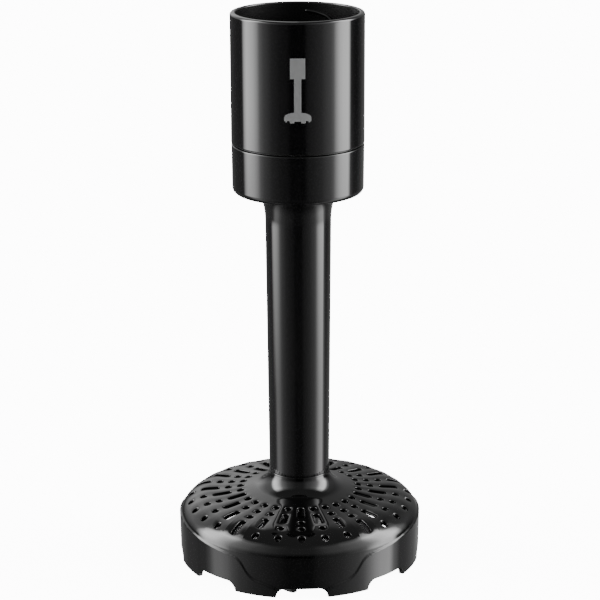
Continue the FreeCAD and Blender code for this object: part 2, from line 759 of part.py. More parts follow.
def make_paddle():
    """A hub on the shaft's hexagon with two sickle blades that sweep the space under the dome."""
    half = sheet.paddle_tip / 2
    radius = (half ** 2 + sheet.paddle_sag ** 2) / (2 * sheet.paddle_sag)
    sweep = 2 * math.degrees(math.asin(half / radius))
    blades = []
    for index in range(BLADES):
        blade = doc.addObject("Part::Feature", "sickle_%d" % (index + 1))
        height = number("paddle_crown - paddle_low")
        outer = Part.makeCylinder(radius + sheet.paddle_thick / 2, height)
        inner = Part.makeCylinder(radius - sheet.paddle_thick / 2, height)
        wedge = Part.makeCylinder(2 * radius, height, FreeCAD.Vector(), FreeCAD.Vector(0, 0, 1), sweep)
        blade.Shape = outer.cut(inner).common(wedge)
        aim = math.radians(sheet.paddle_aim + index * FULL_TURN / BLADES)
        middle = FreeCAD.Vector(math.cos(aim), math.sin(aim), 0) * half
        side = FreeCAD.Vector(-math.sin(aim), math.cos(aim), 0) * (radius - sheet.paddle_sag)
        centre = middle + side
        start = math.degrees(math.atan2(-centre.y, -centre.x))
        centre.z = sheet.paddle_low
        blade.Placement = FreeCAD.Placement(centre, FreeCAD.Rotation(FreeCAD.Vector(0, 0, 1), start))
        blades.append(blade)
    envelope = turned_body("paddle_envelope", [
        ("ground", "paddle_low"), ("paddle_tip", "paddle_low"),
        ("paddle_tip", "paddle_tip_top"), ("paddle_shoulder", "paddle_shoulder_top"),
        ("foot_crease", "paddle_crown"), ("paddle_throat", "paddle_crown"),
        ("paddle_throat", "paddle_hub_top"), ("ground", "paddle_hub_top")])
    trimmed = doc.addObject("Part::Common", "paddle_blades")
    trimmed.Base = fuse("sickles", blades)
    trimmed.Tool = envelope
    hub = cylinder("paddle_hub_blank", "paddle_hub", "paddle_low", "paddle_hub_top")
    bore = hexagon("paddle_bore", "socket_hex", "paddle_hub_low", "paddle_hub_top")
    groove = cylinder("grip_groove", "grip_outer", "grip_low", "grip_top")
    paddle = cut("paddle", fuse("paddle_blank", [trimmed, hub]), fuse("paddle_hollow", [bore, groove]))
    keep(paddle, "paddle")
    turned_tube("paddle_grip_ring", "grip_bore", "grip_outer - press_gap", "grip_low", "grip_top")


# ---------- the whole attachment ----------

def write_pieces():
    """Check every object of the document and every piece, then write one STEP file per piece."""
    doc.recompute()
    for item in doc.Objects:
        if "Invalid" in item.State or "Error" in item.State:
            raise RuntimeError("%s did not build: %s" % (item.Name, item.State))
    for item in pieces:
        shape = item.Shape
        if shape.isNull() or not shape.isValid() or shape.Volume <= 0 or not shape.Solids:
            raise RuntimeError("%s has no valid solid" % item.Label)
    os.makedirs("parts", exist_ok=True)
    for item in pieces:
        item.Shape.exportStep("parts/%s.step" % item.Label)
        print("%-20s %2d solids %10.1f mm3" % (item.Label, len(item.Shape.Solids), item.Shape.Volume))


def main():
    make_drive_collar()
    make_socket_floor()
    make_input_parts()
    make_gearbox_base()
    make_gearbox_screws()
    make_ring_gear()
    make_gear("sun_gear_one", SUN_TEETH, "gear_bore", "stage_one_low", 0.0)
    make_gear("sun_gear_two", SUN_TEETH, "gear_bore", "stage_two_low", 0.0)
    make_planet_stage("one", "stage_one_low", "carrier_one_top", "stage_one_low + gear_width")
    make_planet_stage("two", "stage_two_low", "carrier_two_top", "stage_two_low + gear_width")
    make_carriers()
    make_drive_shaft()
    make_stem()
    make_cup()
    make_bushes()
    make_foot()
    make_paddle()
    write_pieces()


main()
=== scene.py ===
import bisect
import json
import math

import bmesh
import bpy
from bpy.props import (
    FloatProperty, FloatVectorProperty, IntProperty, PointerProperty)
from mathutils import Matrix, Vector


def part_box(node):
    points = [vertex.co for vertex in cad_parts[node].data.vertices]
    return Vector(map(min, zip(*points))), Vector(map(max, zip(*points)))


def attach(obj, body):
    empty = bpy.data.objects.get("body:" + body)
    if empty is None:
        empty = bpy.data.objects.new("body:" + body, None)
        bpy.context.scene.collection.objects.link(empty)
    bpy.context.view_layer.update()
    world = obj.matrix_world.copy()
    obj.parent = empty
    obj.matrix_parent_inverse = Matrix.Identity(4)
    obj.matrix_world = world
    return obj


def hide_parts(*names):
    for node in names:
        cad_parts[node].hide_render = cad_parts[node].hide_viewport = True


bl_info = {
    "name": "Masher Attachment",
    "version": (1, 0, 0),
    "blender": (4, 5, 0),
    "location": "View3D > Sidebar > Masher",
    "description": "Builds the finished surfaces of a hand blender's masher attachment",
    "category": "Object",
}

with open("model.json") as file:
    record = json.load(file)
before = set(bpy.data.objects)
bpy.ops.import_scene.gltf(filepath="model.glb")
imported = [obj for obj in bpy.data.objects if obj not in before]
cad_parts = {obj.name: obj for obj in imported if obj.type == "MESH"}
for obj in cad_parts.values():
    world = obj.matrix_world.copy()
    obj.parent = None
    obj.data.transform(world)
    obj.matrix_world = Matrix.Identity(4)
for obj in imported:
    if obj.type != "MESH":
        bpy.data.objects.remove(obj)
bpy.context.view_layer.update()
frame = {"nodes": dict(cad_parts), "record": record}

MM = 0.001
LEG_BODY = "leg_unit"
GEAR_BODY = "gear_unit"
PADDLE_BODY = "paddle_unit"

# how many sides the turned pieces have
COLLAR_SIDES = 224
LEG_SIDES = 192
FLOOR_SIDES = 128
HUB_SIDES = 96


def top_of(node):
    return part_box(node)[1].z


def foot_of(node):
    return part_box(node)[0].z


def half_width(node):
    low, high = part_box(node)
    return (high.x - low.x) / 2


# ---------------------------------------------------------------- settings

class CollarSettings(bpy.types.PropertyGroup):
    outer: FloatProperty(
        name="Radius", description="Outside radius of the drive collar",
        default=half_width("drive_collar"), unit="LENGTH")
    wall: FloatProperty(
        name="Wall", description="Thickness of the collar's wall", default=2.5 * MM, unit="LENGTH")
    lip: FloatProperty(
        name="Lip rounding", description="Rounding of the mouth's outer edge, twice its inner edge's",
        default=1.2 * MM, unit="LENGTH")
    seat_inner: FloatProperty(
        name="Seat radius", description="Inside radius of the ledge over the socket floor",
        default=25.5 * MM, unit="LENGTH")
    seat_depth: FloatProperty(
        name="Seat depth", description="From the mouth down to the ledge",
        default=28.7 * MM, unit="LENGTH")
    seat_height: FloatProperty(
        name="Seat height", description="Height of the ledge", default=2.0 * MM, unit="LENGTH")
    floor_ribs: IntProperty(
        name="Floor ribs", description="Radial ribs on the socket floor", default=12)
    bayonets: IntProperty(
        name="Bayonet ribs", description="J-shaped ribs around the socket wall", default=2)
    rib_thickness: FloatProperty(
        name="Rib thickness", description="Width of a bayonet rib on the wall",
        default=1.7 * MM, unit="LENGTH")
    rib_stand: FloatProperty(
        name="Rib height", description="How far a bayonet rib stands out of the wall",
        default=1.3 * MM, unit="LENGTH")


class LegSettings(bpy.types.PropertyGroup):
    cup_round: FloatProperty(
        name="Cup rounding", description="Rounding of the cup's lower edge",
        default=2.6 * MM, unit="LENGTH")
    cup_floor: FloatProperty(
        name="Cup floor", description="Height of the inside floor of the cup above its underside",
        default=2.8 * MM, unit="LENGTH")
    stem_top: FloatProperty(
        name="Stem top radius", description="Radius of the stem below its flare",
        default=15.0 * MM, unit="LENGTH")
    stem_foot: FloatProperty(
        name="Stem foot radius", description="Radius of the stem at the foot's hub",
        default=14.0 * MM, unit="LENGTH")
    flare_out: FloatProperty(
        name="Flare width", description="How far the stem's top spreads under the cup",
        default=4.3 * MM, unit="LENGTH")
    flare_down: FloatProperty(
        name="Flare height", description="Height of the flare under the cup",
        default=14.0 * MM, unit="LENGTH")
    flange_edge: FloatProperty(
        name="Flange edge", description="Height of the straight edge above the flare",
        default=0.4 * MM, unit="LENGTH")
    stem_inner: FloatProperty(
        name="Stem bore", description="Inside radius of the stem", default=10.8 * MM, unit="LENGTH")
    floor_bore: FloatProperty(
        name="Bush seat", description="Radius of the hole for the upper bush",
        default=7.0 * MM, unit="LENGTH")


class FootSettings(bpy.types.PropertyGroup):
    clock: FloatProperty(
        name="Clocking", description="Turn of the foot on the stem", default=math.radians(1.0),
        subtype="ANGLE")
    panel_radius: FloatProperty(
        name="Panel radius", description="Radius of the two side panels at their top edge",
        default=half_width("masher_foot"), unit="LENGTH")
    skirt_radius: FloatProperty(
        name="Skirt radius", description="Radius of the skirt under the shoulder",
        default=56.12 * MM, unit="LENGTH")
    wall: FloatProperty(
        name="Wall", description="Thickness of the moulding", default=2.3 * MM, unit="LENGTH")
    hole_radius: FloatProperty(
        name="Hole radius", description="Radius of a round perforation",
        default=1.65 * MM, unit="LENGTH")
    hole_edge: FloatProperty(
        name="Hole edge", description="Rounding of the perforations' edges",
        default=0.25 * MM, unit="LENGTH")
    first_station: FloatProperty(
        name="First hole", description="Radius of the innermost ring of holes",
        default=27.8 * MM, unit="LENGTH")
    station_step: FloatProperty(
        name="Hole step", description="Step from one ring of holes to the next",
        default=5.8 * MM, unit="LENGTH")
    flute_depth: FloatProperty(
        name="Flute depth", description="Depth of the grooves that hold the rows of holes",
        default=0.22 * MM, unit="LENGTH")
    notches: IntProperty(
        name="Notches", description="Notches around the rim", default=8)
    notch_height: FloatProperty(
        name="Notch height", description="Height of a notch", default=4.4 * MM, unit="LENGTH")


class PaddleSettings(bpy.types.PropertyGroup):
    blades: IntProperty(name="Blades", description="Sickle blades on the hub", default=2)
    blade: FloatProperty(
        name="Blade thickness", description="Thickness of a sickle blade",
        default=2.6 * MM, unit="LENGTH")
    tip: FloatProperty(
        name="Tip radius", description="From the spin axis to a blade's tip",
        default=53.0 * MM, unit="LENGTH")
    low: FloatProperty(
        name="Lower edge", description="Height of the blades above the surface the foot stands on",
        default=1.0 * MM, unit="LENGTH")
    hub: FloatProperty(
        name="Hub radius", description="Radius of the paddle's hub", default=9.0 * MM,
        unit="LENGTH")
    hub_height: FloatProperty(
        name="Hub height", description="Height of the paddle's hub", default=19.4 * MM,
        unit="LENGTH")
    sag: FloatProperty(
        name="Sickle depth", description="Depth of the sickle's curve", default=15.0 * MM,
        unit="LENGTH")
    aim: FloatProperty(
        name="Aim", description="Direction of the first blade's tip", default=math.radians(268.5),
        subtype="ANGLE")


class SymbolSettings(bpy.types.PropertyGroup):
    height: FloatProperty(
        name="Height", description="Height of the printed masher symbol",
        default=28.6 * MM, unit="LENGTH")
    foot_width: FloatProperty(
        name="Width", description="Width of the symbol's foot", default=11.9 * MM, unit="LENGTH")
    low: FloatProperty(
        name="Low edge", description="Height of the symbol's lower edge above the collar's foot",
        default=14.3 * MM, unit="LENGTH")
    ink: FloatVectorProperty(
        name="Ink", description="Colour of the print", subtype="COLOR",
        default=(0.14, 0.142, 0.142), size=3)


class StageSettings(bpy.types.PropertyGroup):
    distance: FloatProperty(
        name="Camera distance", description="From the camera to the spin axis",
        default=0.9544, unit="LENGTH")
    height: FloatProperty(
        name="Camera height", description="Height of the camera above the floor",
        default=0.4110, unit="LENGTH")
    pitch: FloatProperty(
        name="Pitch", description="How far the camera looks down",
        default=math.radians(16.755), subtype="ANGLE")
    roll: FloatProperty(
        name="Roll", description="Tilt of the camera about its view",
        default=math.radians(-0.256), subtype="ANGLE")
    lens: FloatProperty(
        name="Lens", description="Focal length in millimetres", default=130.37)
    shift: FloatProperty(
        name="Shift", description="Sideways shift of the lens", default=0.00233)
    light: FloatProperty(
        name="Light", description="Strength of the studio light", default=1.0)
    top_light: FloatProperty(
        name="Top light", description="Brightness overhead", default=0.25)
    under_light: FloatProperty(
        name="Under light", description="Share of the low light that comes from far below",
        default=0.3)
    backdrop: FloatProperty(
        name="Backdrop", description="How bright the pale surroundings look", default=11.0)


SETTINGS = {
    "masher_collar": CollarSettings,
    "masher_leg": LegSettings,
    "masher_foot": FootSettings,
    "masher_paddle": PaddleSettings,
    "masher_symbol": SymbolSettings,
    "masher_stage": StageSettings,
}


# ---------------------------------------------------------------- node helpers

def feed(socket, value):
    """Give a node's input a value, or link another node's output to it."""
    if isinstance(value, bpy.types.NodeSocket):
        socket.id_data.links.new(value, socket)
    else:
        socket.default_value = value


def wire(node, *ordered, **named):
    """Fill a node's inputs, in order and by name; a name in small letters is a setting."""
    for key, value in named.items():
        if key.islower():
            setattr(node, key, value)
    for socket, value in zip(node.inputs, ordered):
        feed(socket, value)
    for key, value in named.items():
        if not key.islower():
            feed(node.inputs[key.replace("_", " ")], value)
    return node


def adder(tree):
    """A function that adds a node to a tree and wires it."""
    return lambda kind, *ordered, **named: wire(tree.nodes.new(kind), *ordered, **named)


def new_shader(name):
    """A new material, its Principled shader, and the function that adds nodes to it."""
    material = bpy.data.materials.new(name)
    material.use_nodes = True
    tree = material.node_tree
    return material, tree.nodes["Principled BSDF"], adder(tree)


def noise(add, scale, detail, stretch=(1.0, 1.0, 1.0)):
    """A cloudy pattern that is fixed to the piece; its scale is per metre."""
    place = add("ShaderNodeTexCoord").outputs["Object"]
    spread = add("ShaderNodeMapping", place, Scale=[scale * part for part in stretch])
    cloud = add("ShaderNodeTexNoise", spread.outputs["Vector"], Scale=1.0, Detail=detail)
    return cloud.outputs["Fac"]


def ranged(add, value, low, high):
    """A 0..1 value moved into the range low..high."""
    return add("ShaderNodeMapRange", value, To_Min=low, To_Max=high).outputs["Result"]


def shade_between(add, factor, low, high):
    ramp = add("ShaderNodeValToRGB", factor)
    for stop, colour in zip(ramp.color_ramp.elements, (low, high)):
        stop.color = (*colour, 1.0)
    return ramp.outputs["Color"]


def grey(level):
    return (level, level, level, 1.0)


def mixed(add, factor, first, second):
    """A colour between two, each a value or another node's output."""
    mix = add("ShaderNodeMix", factor, data_type="RGBA")
    feed(mix.inputs[6], first)
    feed(mix.inputs[7], second)
    return mix.outputs[2]


def bumped(add, pattern, strength, height):
    bump = add("ShaderNodeBump", Height=pattern, Strength=strength, Distance=height)
    return bump.outputs["Normal"]


def reach_of(add, place):
    """How far a place is from the origin."""
    return add("ShaderNodeVectorMath", place, operation="LENGTH").outputs["Value"]


# ---------------------------------------------------------------- materials

def plastic(name, colour, roughness, grain_scale, grain_height, haze=0.02):
    """Moulded plastic: slightly uneven colour and gloss over a fine moulded grain."""
    material, shader, add = new_shader(name)
    cloud = noise(add, 35.0, 3.0)
    bright = tuple(min(1.0, part * 1.25) for part in colour)
    wire(shader, Base_Color=shade_between(add, cloud, colour, bright),
         Roughness=ranged(add, cloud, roughness - haze, roughness + haze),
         Normal=bumped(add, noise(add, grain_scale, 4.0), 0.35, grain_height), IOR=1.5)
    return material


def gloss_black(name="gloss_black_plastic"):
    return plastic(name, (0.0016, 0.0016, 0.0017), 0.055, 160.0, 0.00002, 0.008)


def collar_black():
    """The collar's gloss outside, and a duller wall inside the socket."""
    material = gloss_black("collar_black_plastic")
    shader = material.node_tree.nodes["Principled BSDF"]
    add = adder(material.node_tree)
    place = add("ShaderNodeTexCoord").outputs["Object"]
    flat = add("ShaderNodeVectorMath", place, (1.0, 1.0, 0.0), operation="MULTIPLY")
    wall_inside = 27.6 * MM
    wall_outside = 28.0 * MM
    outside = add("ShaderNodeMapRange", reach_of(add, flat.outputs["Vector"]),
                  From_Min=wall_inside, From_Max=wall_outside)
    for name, inside in (("Roughness", 0.24), ("Base Color", 0.0045)):
        socket = shader.inputs[name]
        given = socket.links[0].from_socket
        feed(socket, mixed(add, outside.outputs["Result"], grey(inside), given))
    return material


def turned_metal(name, colour, roughness):
    """Metal turned on a lathe: fine rings across the spin axis."""
    material, shader, add = new_shader(name)
    rings = noise(add, 1.0, 2.0, (20.0, 20.0, 5200.0))
    dark = tuple(part * 0.82 for part in colour)
    wire(shader, Base_Color=shade_between(add, rings, dark, colour),
         Roughness=ranged(add, rings, roughness - 0.08, roughness + 0.08),
         Normal=bumped(add, rings, 0.25, 0.00002), Metallic=1.0)
    return material


def printed_ink(colour):
    """Silver-grey pad print: a matt ink with a fine metallic speckle."""
    material, shader, add = new_shader("silver_print")
    speckle = noise(add, 3200.0, 2.0)
    dark = tuple(part * 0.86 for part in colour)
    wire(shader, Base_Color=shade_between(add, speckle, dark, tuple(colour)),
         Roughness=ranged(add, speckle, 0.5, 0.65), Specular_IOR_Level=0.25)
    return material


MAKERS = {
    "gloss_black": gloss_black,
    "satin_black": lambda: plastic("satin_black_plastic", (0.0010, 0.0010, 0.00105), 0.062, 260.0,
                                   0.00002, 0.008),
    "inner_black": lambda: plastic("inner_black_plastic", (0.006, 0.006, 0.0065), 0.34, 700.0,
                                   0.00006, 0.04),
    "gear_plastic": lambda: plastic("natural_gear_plastic", (0.66, 0.65, 0.60), 0.38, 900.0,
                                    0.00004, 0.04),
    "seal_rubber": lambda: plastic("seal_rubber", (0.014, 0.014, 0.014), 0.62, 1400.0, 0.00008,
                                   0.06),
    "steel": lambda: turned_metal("turned_steel", (0.60, 0.60, 0.61), 0.24),
    "bronze": lambda: turned_metal("sintered_bronze", (0.46, 0.29, 0.14), 0.42),
}
FINISHES = {}


def finish(slot):
    """The material of one of the record's slots, made once."""
    if slot not in FINISHES:
        FINISHES[slot] = MAKERS[slot]()
    return FINISHES[slot]


# ---------------------------------------------------------------- mesh helpers

def mesh_object(name, points, faces, material):
    mesh = bpy.data.meshes.new(name)
    mesh.from_pydata(points, [], faces)
    mesh.validate()
    mesh.materials.append(material)
    item = bpy.data.objects.new(name, mesh)
    bpy.context.scene.collection.objects.link(item)
    return item


def smooth(item, sharp_angle=math.radians(38)):
    """Shade an object smooth, except across edges sharper than an angle."""
    mesh = item.data
    mesh.shade_smooth()
    mesh.set_sharp_from_angle(angle=sharp_angle)


def tidy_mesh(item, merge=1e-6):
    """Merge doubles, drop points without a face, and point every face outwards."""
    shape = bmesh.new()
    shape.from_mesh(item.data)
    bmesh.ops.remove_doubles(shape, verts=shape.verts, dist=merge)
    bmesh.ops.dissolve_degenerate(shape, edges=shape.edges, dist=merge)
    bare = [point for point in shape.verts if not point.link_faces]
    bmesh.ops.delete(shape, geom=bare, context="VERTS")
    bmesh.ops.recalc_face_normals(shape, faces=shape.faces)
    shape.to_mesh(item.data)
    shape.free()


def arc(centre_r, centre_z, reach_r, reach_z, start, end, steps):
    """Points on an elliptical arc in the radius-height plane; angles in degrees."""
    spots = []
    for step in range(steps + 1):
        angle = math.radians(start + (end - start) * step / steps)
        spots.append((centre_r + reach_r * math.cos(angle), centre_z + reach_z * math.sin(angle)))
    return spots


def ease(value, low, high):
    """A smooth step: 0 up to the low value, 1 from the high one on."""
    part = min(1.0, max(0.0, (value - low) / (high - low)))
    return part * part * (3 - 2 * part)


def rounded_end(share):
    """The swell of a rounded end: 0 at its very tip, 1 from one whole share of it inwards."""
    return math.sqrt(max(0.0, 1 - (1 - min(1.0, share)) ** 2))


def ring_points(angles, radius_of, height_of):
    return [(radius_of(a) * math.cos(a), radius_of(a) * math.sin(a), height_of(a)) for a in angles]


def add_strip(points, faces, rows):
    """Quads between closed rows that all have the same number of points."""
    start = len(points)
    count = len(rows[0])
    for row in rows:
        points.extend(row)
    for level in range(len(rows) - 1):
        for index in range(count):
            following = (index + 1) % count
            a = start + level * count
            b = a + count
            faces.append((a + index, a + following, b + following, b + index))


def bars(name, all_rows, material):
    """An object of closed bars: for each, the rows along it, with a face across either end."""
    points = []
    faces = []
    for rows in all_rows:
        first = tuple(range(len(points), len(points) + len(rows[0])))
        add_strip(points, faces, rows)
        faces.append(first[::-1])
        faces.append(tuple(range(len(points) - len(first), len(points))))
    item = mesh_object(name, points, faces, material)
    tidy_mesh(item)
    return item


def braced(profile):
    """The same outline with a point near each end of its long runs, which keeps them flat when
    the rounded edges beside them are shaded smooth."""
    brace = 0.2 * MM
    outline = []
    for index, (radius, height) in enumerate(profile):
        ahead = profile[(index + 1) % len(profile)]
        outline.append((radius, height))
        run = math.hypot(ahead[0] - radius, ahead[1] - height)
        if run > 6 * brace:
            for share in (brace / run, 1 - brace / run):
                outline.append((radius + (ahead[0] - radius) * share,
                                height + (ahead[1] - height) * share))
    return outline


def lathe(name, profile, segments, material):
    """Spin a closed outline of (radius, height) points about the axis."""
    angles = [2 * math.pi * index / segments for index in range(segments)]
    rows = [ring_points(angles, lambda a: radius, lambda a: height)
            for radius, height in braced(profile)]
    points = []
    faces = []
    add_strip(points, faces, rows + rows[:1])
    item = mesh_object(name, points, faces, material)
    tidy_mesh(item)
    smooth(item)
    return item


def join(name, items, merge=1e-6):
    """Join several mesh objects into the first one."""
    target = items[0]
    shape = bmesh.new()
    for item in items:
        shape.from_mesh(item.data)
    shape.to_mesh(target.data)
    shape.free()
    for item in items[1:]:
        bpy.data.objects.remove(item)
    target.name = name
    target.data.name = name
    tidy_mesh(target, merge)
    return target


# ---------------------------------------------------------------- repeat by nodes

def ring_tree(name, material):
    """A node tree that sets copies of its geometry around the spin axis."""
    tree = bpy.data.node_groups.new(name, "GeometryNodeTree")
    tree.is_modifier = True
    face = tree.interface
    face.new_socket("Geometry", in_out="INPUT", socket_type="NodeSocketGeometry")
    count = face.new_socket("Count", in_out="INPUT", socket_type="NodeSocketInt")
    start = face.new_socket("Start", in_out="INPUT", socket_type="NodeSocketFloat")
    face.new_socket("Geometry", in_out="OUTPUT", socket_type="NodeSocketGeometry")
    add = adder(tree)
    given = add("NodeGroupInput").outputs
    line = add("GeometryNodeMeshLine", given["Count"], mode="OFFSET", Offset=(0.0, 0.0, 0.0))
    index = add("GeometryNodeInputIndex").outputs["Index"]
    step = add("ShaderNodeMath", 2 * math.pi, given["Count"], operation="DIVIDE")
    turned = add("ShaderNodeMath", index, step.outputs["Value"], given["Start"],
                 operation="MULTIPLY_ADD")
    spin = add("ShaderNodeCombineXYZ", Z=turned.outputs["Value"])
    copies = add("GeometryNodeInstanceOnPoints", line.outputs["Mesh"], Instance=given["Geometry"],
                 Rotation=spin.outputs["Vector"])
    real = add("GeometryNodeRealizeInstances", copies.outputs["Instances"])
    paint = add("GeometryNodeSetMaterial", real.outputs["Geometry"], Material=material)
    add("NodeGroupOutput", paint.outputs["Geometry"])
    return tree, {"Count": count.identifier, "Start": start.identifier}


def repeat_around(item, count, start, material):
    """Repeat a mesh object around the spin axis with a node tree, and make the result plain."""
    tree, sockets = ring_tree(item.name + "_ring", material)
    modifier = item.modifiers.new("ring", "NODES")
    modifier.node_group = tree
    modifier[sockets["Count"]] = count
    modifier[sockets["Start"]] = start
    graph = bpy.context.evaluated_depsgraph_get()
    mesh = bpy.data.meshes.new_from_object(item.evaluated_get(graph), depsgraph=graph)
    item.modifiers.remove(modifier)
    old = item.data
    item.data = mesh
    mesh.name = item.name
    bpy.data.meshes.remove(old)
    return item


# ---------------------------------------------------------------- drive collar

def collar_profile(size, low, high):
    """The collar's wall as one closed outline, from the outside foot round to the inside foot."""
    inner = size.outer - size.wall
    lip = size.lip
    mouth = 0.5 * lip
    foot_edge = 0.45 * MM
    straight = 3.0 * MM
    draft = 0.3 * MM
    bevel = 0.3 * MM
    seat_top = high - size.seat_depth
    seat_low = seat_top - size.seat_height
    drafted = inner - draft
    outline = arc(size.outer - foot_edge, low + foot_edge, foot_edge, foot_edge, -90, 0, 4)
    outline += arc(size.outer - lip, high - lip, lip, lip, 0, 90, 10)
    outline += arc(inner + mouth, high - mouth, mouth, mouth, 90, 180, 8)
    outline += [(inner, high - straight), (drafted, seat_top + bevel), (drafted - bevel, seat_top)]
    outline += [(size.seat_inner + bevel, seat_top), (size.seat_inner, seat_top - bevel)]
    outline += [(size.seat_inner, seat_low), (inner, seat_low), (inner, low)]
    return outline


def spline_value(before, here, there, after, part):
    """A point between here and there on a smooth curve through four values."""
    return 0.5 * (2 * here + (there - before) * part
                  + (2 * before - 5 * here + 4 * there - after) * part ** 2
                  + (3 * here - before - 3 * there + after) * part ** 3)


def bayonet_path(steps):
    """The J of a bayonet rib: (angle from the middle of the back, depth below the mouth)."""
    corners = [(7.5, 4.1), (12.0, 4.2), (18.0, 4.6), (24.0, 5.3), (29.0, 6.0), (32.6, 7.3),
               (34.6, 9.8), (35.2, 13.5), (35.2, 20.0)]
    path = []
    for index in range(len(corners) - 1):
        before = corners[max(index - 1, 0)]
        here = corners[index]
        there = corners[index + 1]
        after = corners[min(index + 2, len(corners) - 1)]
        for step in range(steps):
            path.append(tuple(
                spline_value(before[axis], here[axis], there[axis], after[axis], step / steps)
                for axis in range(2)))
    path.append(corners[-1])
    return path


def bayonet_rib(size, high, material):
    """One J-shaped rib on the socket's wall, with a rounded back and rounded ends."""
    inner = size.outer - size.wall
    path = bayonet_path(6)
    across = 12
    end_steps = 3
    buried = 0.25 * MM
    last = len(path) - 1
    rows = []
    for index, (angle, depth) in enumerate(path):
        back = path[max(index - 1, 0)]
        ahead = path[min(index + 1, last)]
        along = Vector(((ahead[0] - back[0]) * math.radians(1) * inner, (back[1] - ahead[1]) * MM))
        along.normalize()
        side = Vector((-along.y, along.x))
        swell = rounded_end(min(index, last - index) / end_steps)
        half = size.rib_thickness / 2 * max(swell, 0.15)
        stand = size.rib_stand * (0.55 + 0.45 * swell)
        row = []
        for step in range(across + 1):
            lean = math.pi * step / across
            offset = math.cos(lean)
            rise = math.sin(lean) ** 0.5 if 0 < step < across else 0.0
            reach = inner + buried - (stand + buried) * rise
            shift = side * half * offset
            turned = math.radians(90 - angle) - shift.x / inner
            row.append((reach * math.cos(turned), reach * math.sin(turned),
                        high - depth * MM + shift.y))
        rows.append(row)
    return bars("bayonet_rib", [rows], material)


class MASHER_OT_collar(bpy.types.Operator):
    """Build the drive collar and the bayonet ribs in its socket"""

    bl_idname = "masher.collar"
    bl_label = "Drive collar"

    def execute(self, context):
        size = context.scene.masher_collar
        low = foot_of("drive_collar")
        high = top_of("drive_collar")
        collar = lathe("drive_collar_shell", collar_profile(size, low, high), COLLAR_SIDES,
                       collar_black())
        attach(collar, GEAR_BODY)
        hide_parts("drive_collar")
        rib_gloss = finish("gloss_black")
        rib = bayonet_rib(size, high, rib_gloss)
        repeat_around(rib, size.bayonets, 0.0, rib_gloss)
        rib.name = "bayonet_ribs"
        smooth(rib, math.radians(60))
        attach(rib, GEAR_BODY)
        return {"FINISHED"}


# ---------------------------------------------------------------- leg

# the softened edges on both sides of the seam between the stem and the foot's hub
SEAM_EDGE = 0.14 * MM
SEAM_CORNER = 0.04 * MM


def stem_profile(size, low, high):
    """The stem as one closed outline, from its bore round the foot end, up and over the flange."""
    outline = [(size.stem_inner, low), (size.stem_foot - SEAM_EDGE, low)]
    outline += [(size.stem_foot - SEAM_CORNER, low + SEAM_CORNER)]
    outline += [(size.stem_foot, low + SEAM_EDGE)]
    flare_low = high - size.flare_down
    rise = flare_low - low
    for step in range(1, 13):
        part = step / 12
        outline.append((size.stem_foot + (size.stem_top - size.stem_foot) * part,
                        low + rise * part))
    flare = arc(size.stem_top + size.flare_out, flare_low, size.flare_out,
                size.flare_down - size.flange_edge, 180, 90, 20)
    outline += flare[1:]
    outline += [(size.stem_top + size.flare_out, high), (size.floor_bore, high)]
    web = 3.2 * MM
    outline += [(size.floor_bore, high - web), (size.stem_inner, high - web)]
    return outline


def cup_profile(size, low, high):
    """The cup as one closed outline, from its underside out, up and back inside."""
    outer = half_width("cup")
    wall = 2.9 * MM
    inner = outer - wall
    draft = 0.15 * MM
    drafted = outer - draft
    lip = 0.6 * MM
    bevel = 0.3 * MM
    cove = 1.0 * MM
    bottom = size.cup_round
    outline = [(size.floor_bore, low)]
    outline += arc(drafted - bottom, low + bottom, bottom, bottom, -90, 0, 10)
    outline += arc(outer - lip, high - lip, lip, lip, 0, 90, 6)
    floor = low + size.cup_floor
    outline += [(inner + bevel, high), (inner, high - bevel), (inner, floor + cove)]
    outline += [(inner - cove, floor), (size.floor_bore, floor)]
    return outline


class MASHER_OT_leg(bpy.types.Operator):
    """Build the cup and the stem"""

    bl_idname = "masher.leg"
    bl_label = "Cup and stem"

    def execute(self, context):
        size = context.scene.masher_leg
        gloss = finish("gloss_black")
        stem = lathe("stem_shell", stem_profile(size, foot_of("stem"), top_of("stem")),
                     LEG_SIDES, gloss)
        cup = lathe("cup_shell", cup_profile(size, foot_of("cup"), top_of("cup")), LEG_SIDES,
                    gloss)
        for item, node in ((stem, "stem"), (cup, "cup")):
            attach(item, LEG_BODY)
            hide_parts(node)
        return {"FINISHED"}


# ---------------------------------------------------------------- masher foot

COLUMNS = 30
COLUMNS_PER_WAVE = 6
STATIONS = 5
CELL_SIDE = 7
CELL_HALF = math.pi / COLUMNS
SHOULDER_START = 41.0 * MM
SHOULDER_HEIGHT = 10.95 * MM
SHOULDER_LOW = 19.0 * MM
SKIRT_DRAFT = 0.3 * MM
PANEL_DRAFT = 0.35 * MM
PANEL_TOP = 22.0 * MM
PLATE_EDGE = 42.5 * MM
PLATE_HEIGHT = 29.9 * MM
PLATE_SLOPE = 0.072
PLATE_DISH = 4.0
FLUTE_START = 24.0 * MM
FLUTE_FULL = 28.0 * MM
FLUTE_FADE = 50.5 * MM
FLUTE_END = 55.9 * MM
HUB_RADIUS = 14.1 * MM
HUB_FILLET = 7.0 * MM
HUB_RISE = 6.0 * MM
DOME_END = 53.4 * MM


def plate_height(radius):
    """The gently dished top of the foot, outside."""
    away = PLATE_EDGE - radius
    return PLATE_HEIGHT + PLATE_SLOPE * away + PLATE_DISH * away ** 2


def shoulder_height(radius, shrink, size):
    reach = size.skirt_radius - SHOULDER_START - shrink
    part = min(1.0, (radius - SHOULDER_START) / reach)
    return SHOULDER_LOW + (SHOULDER_HEIGHT - shrink) * math.sqrt(1 - part * part)


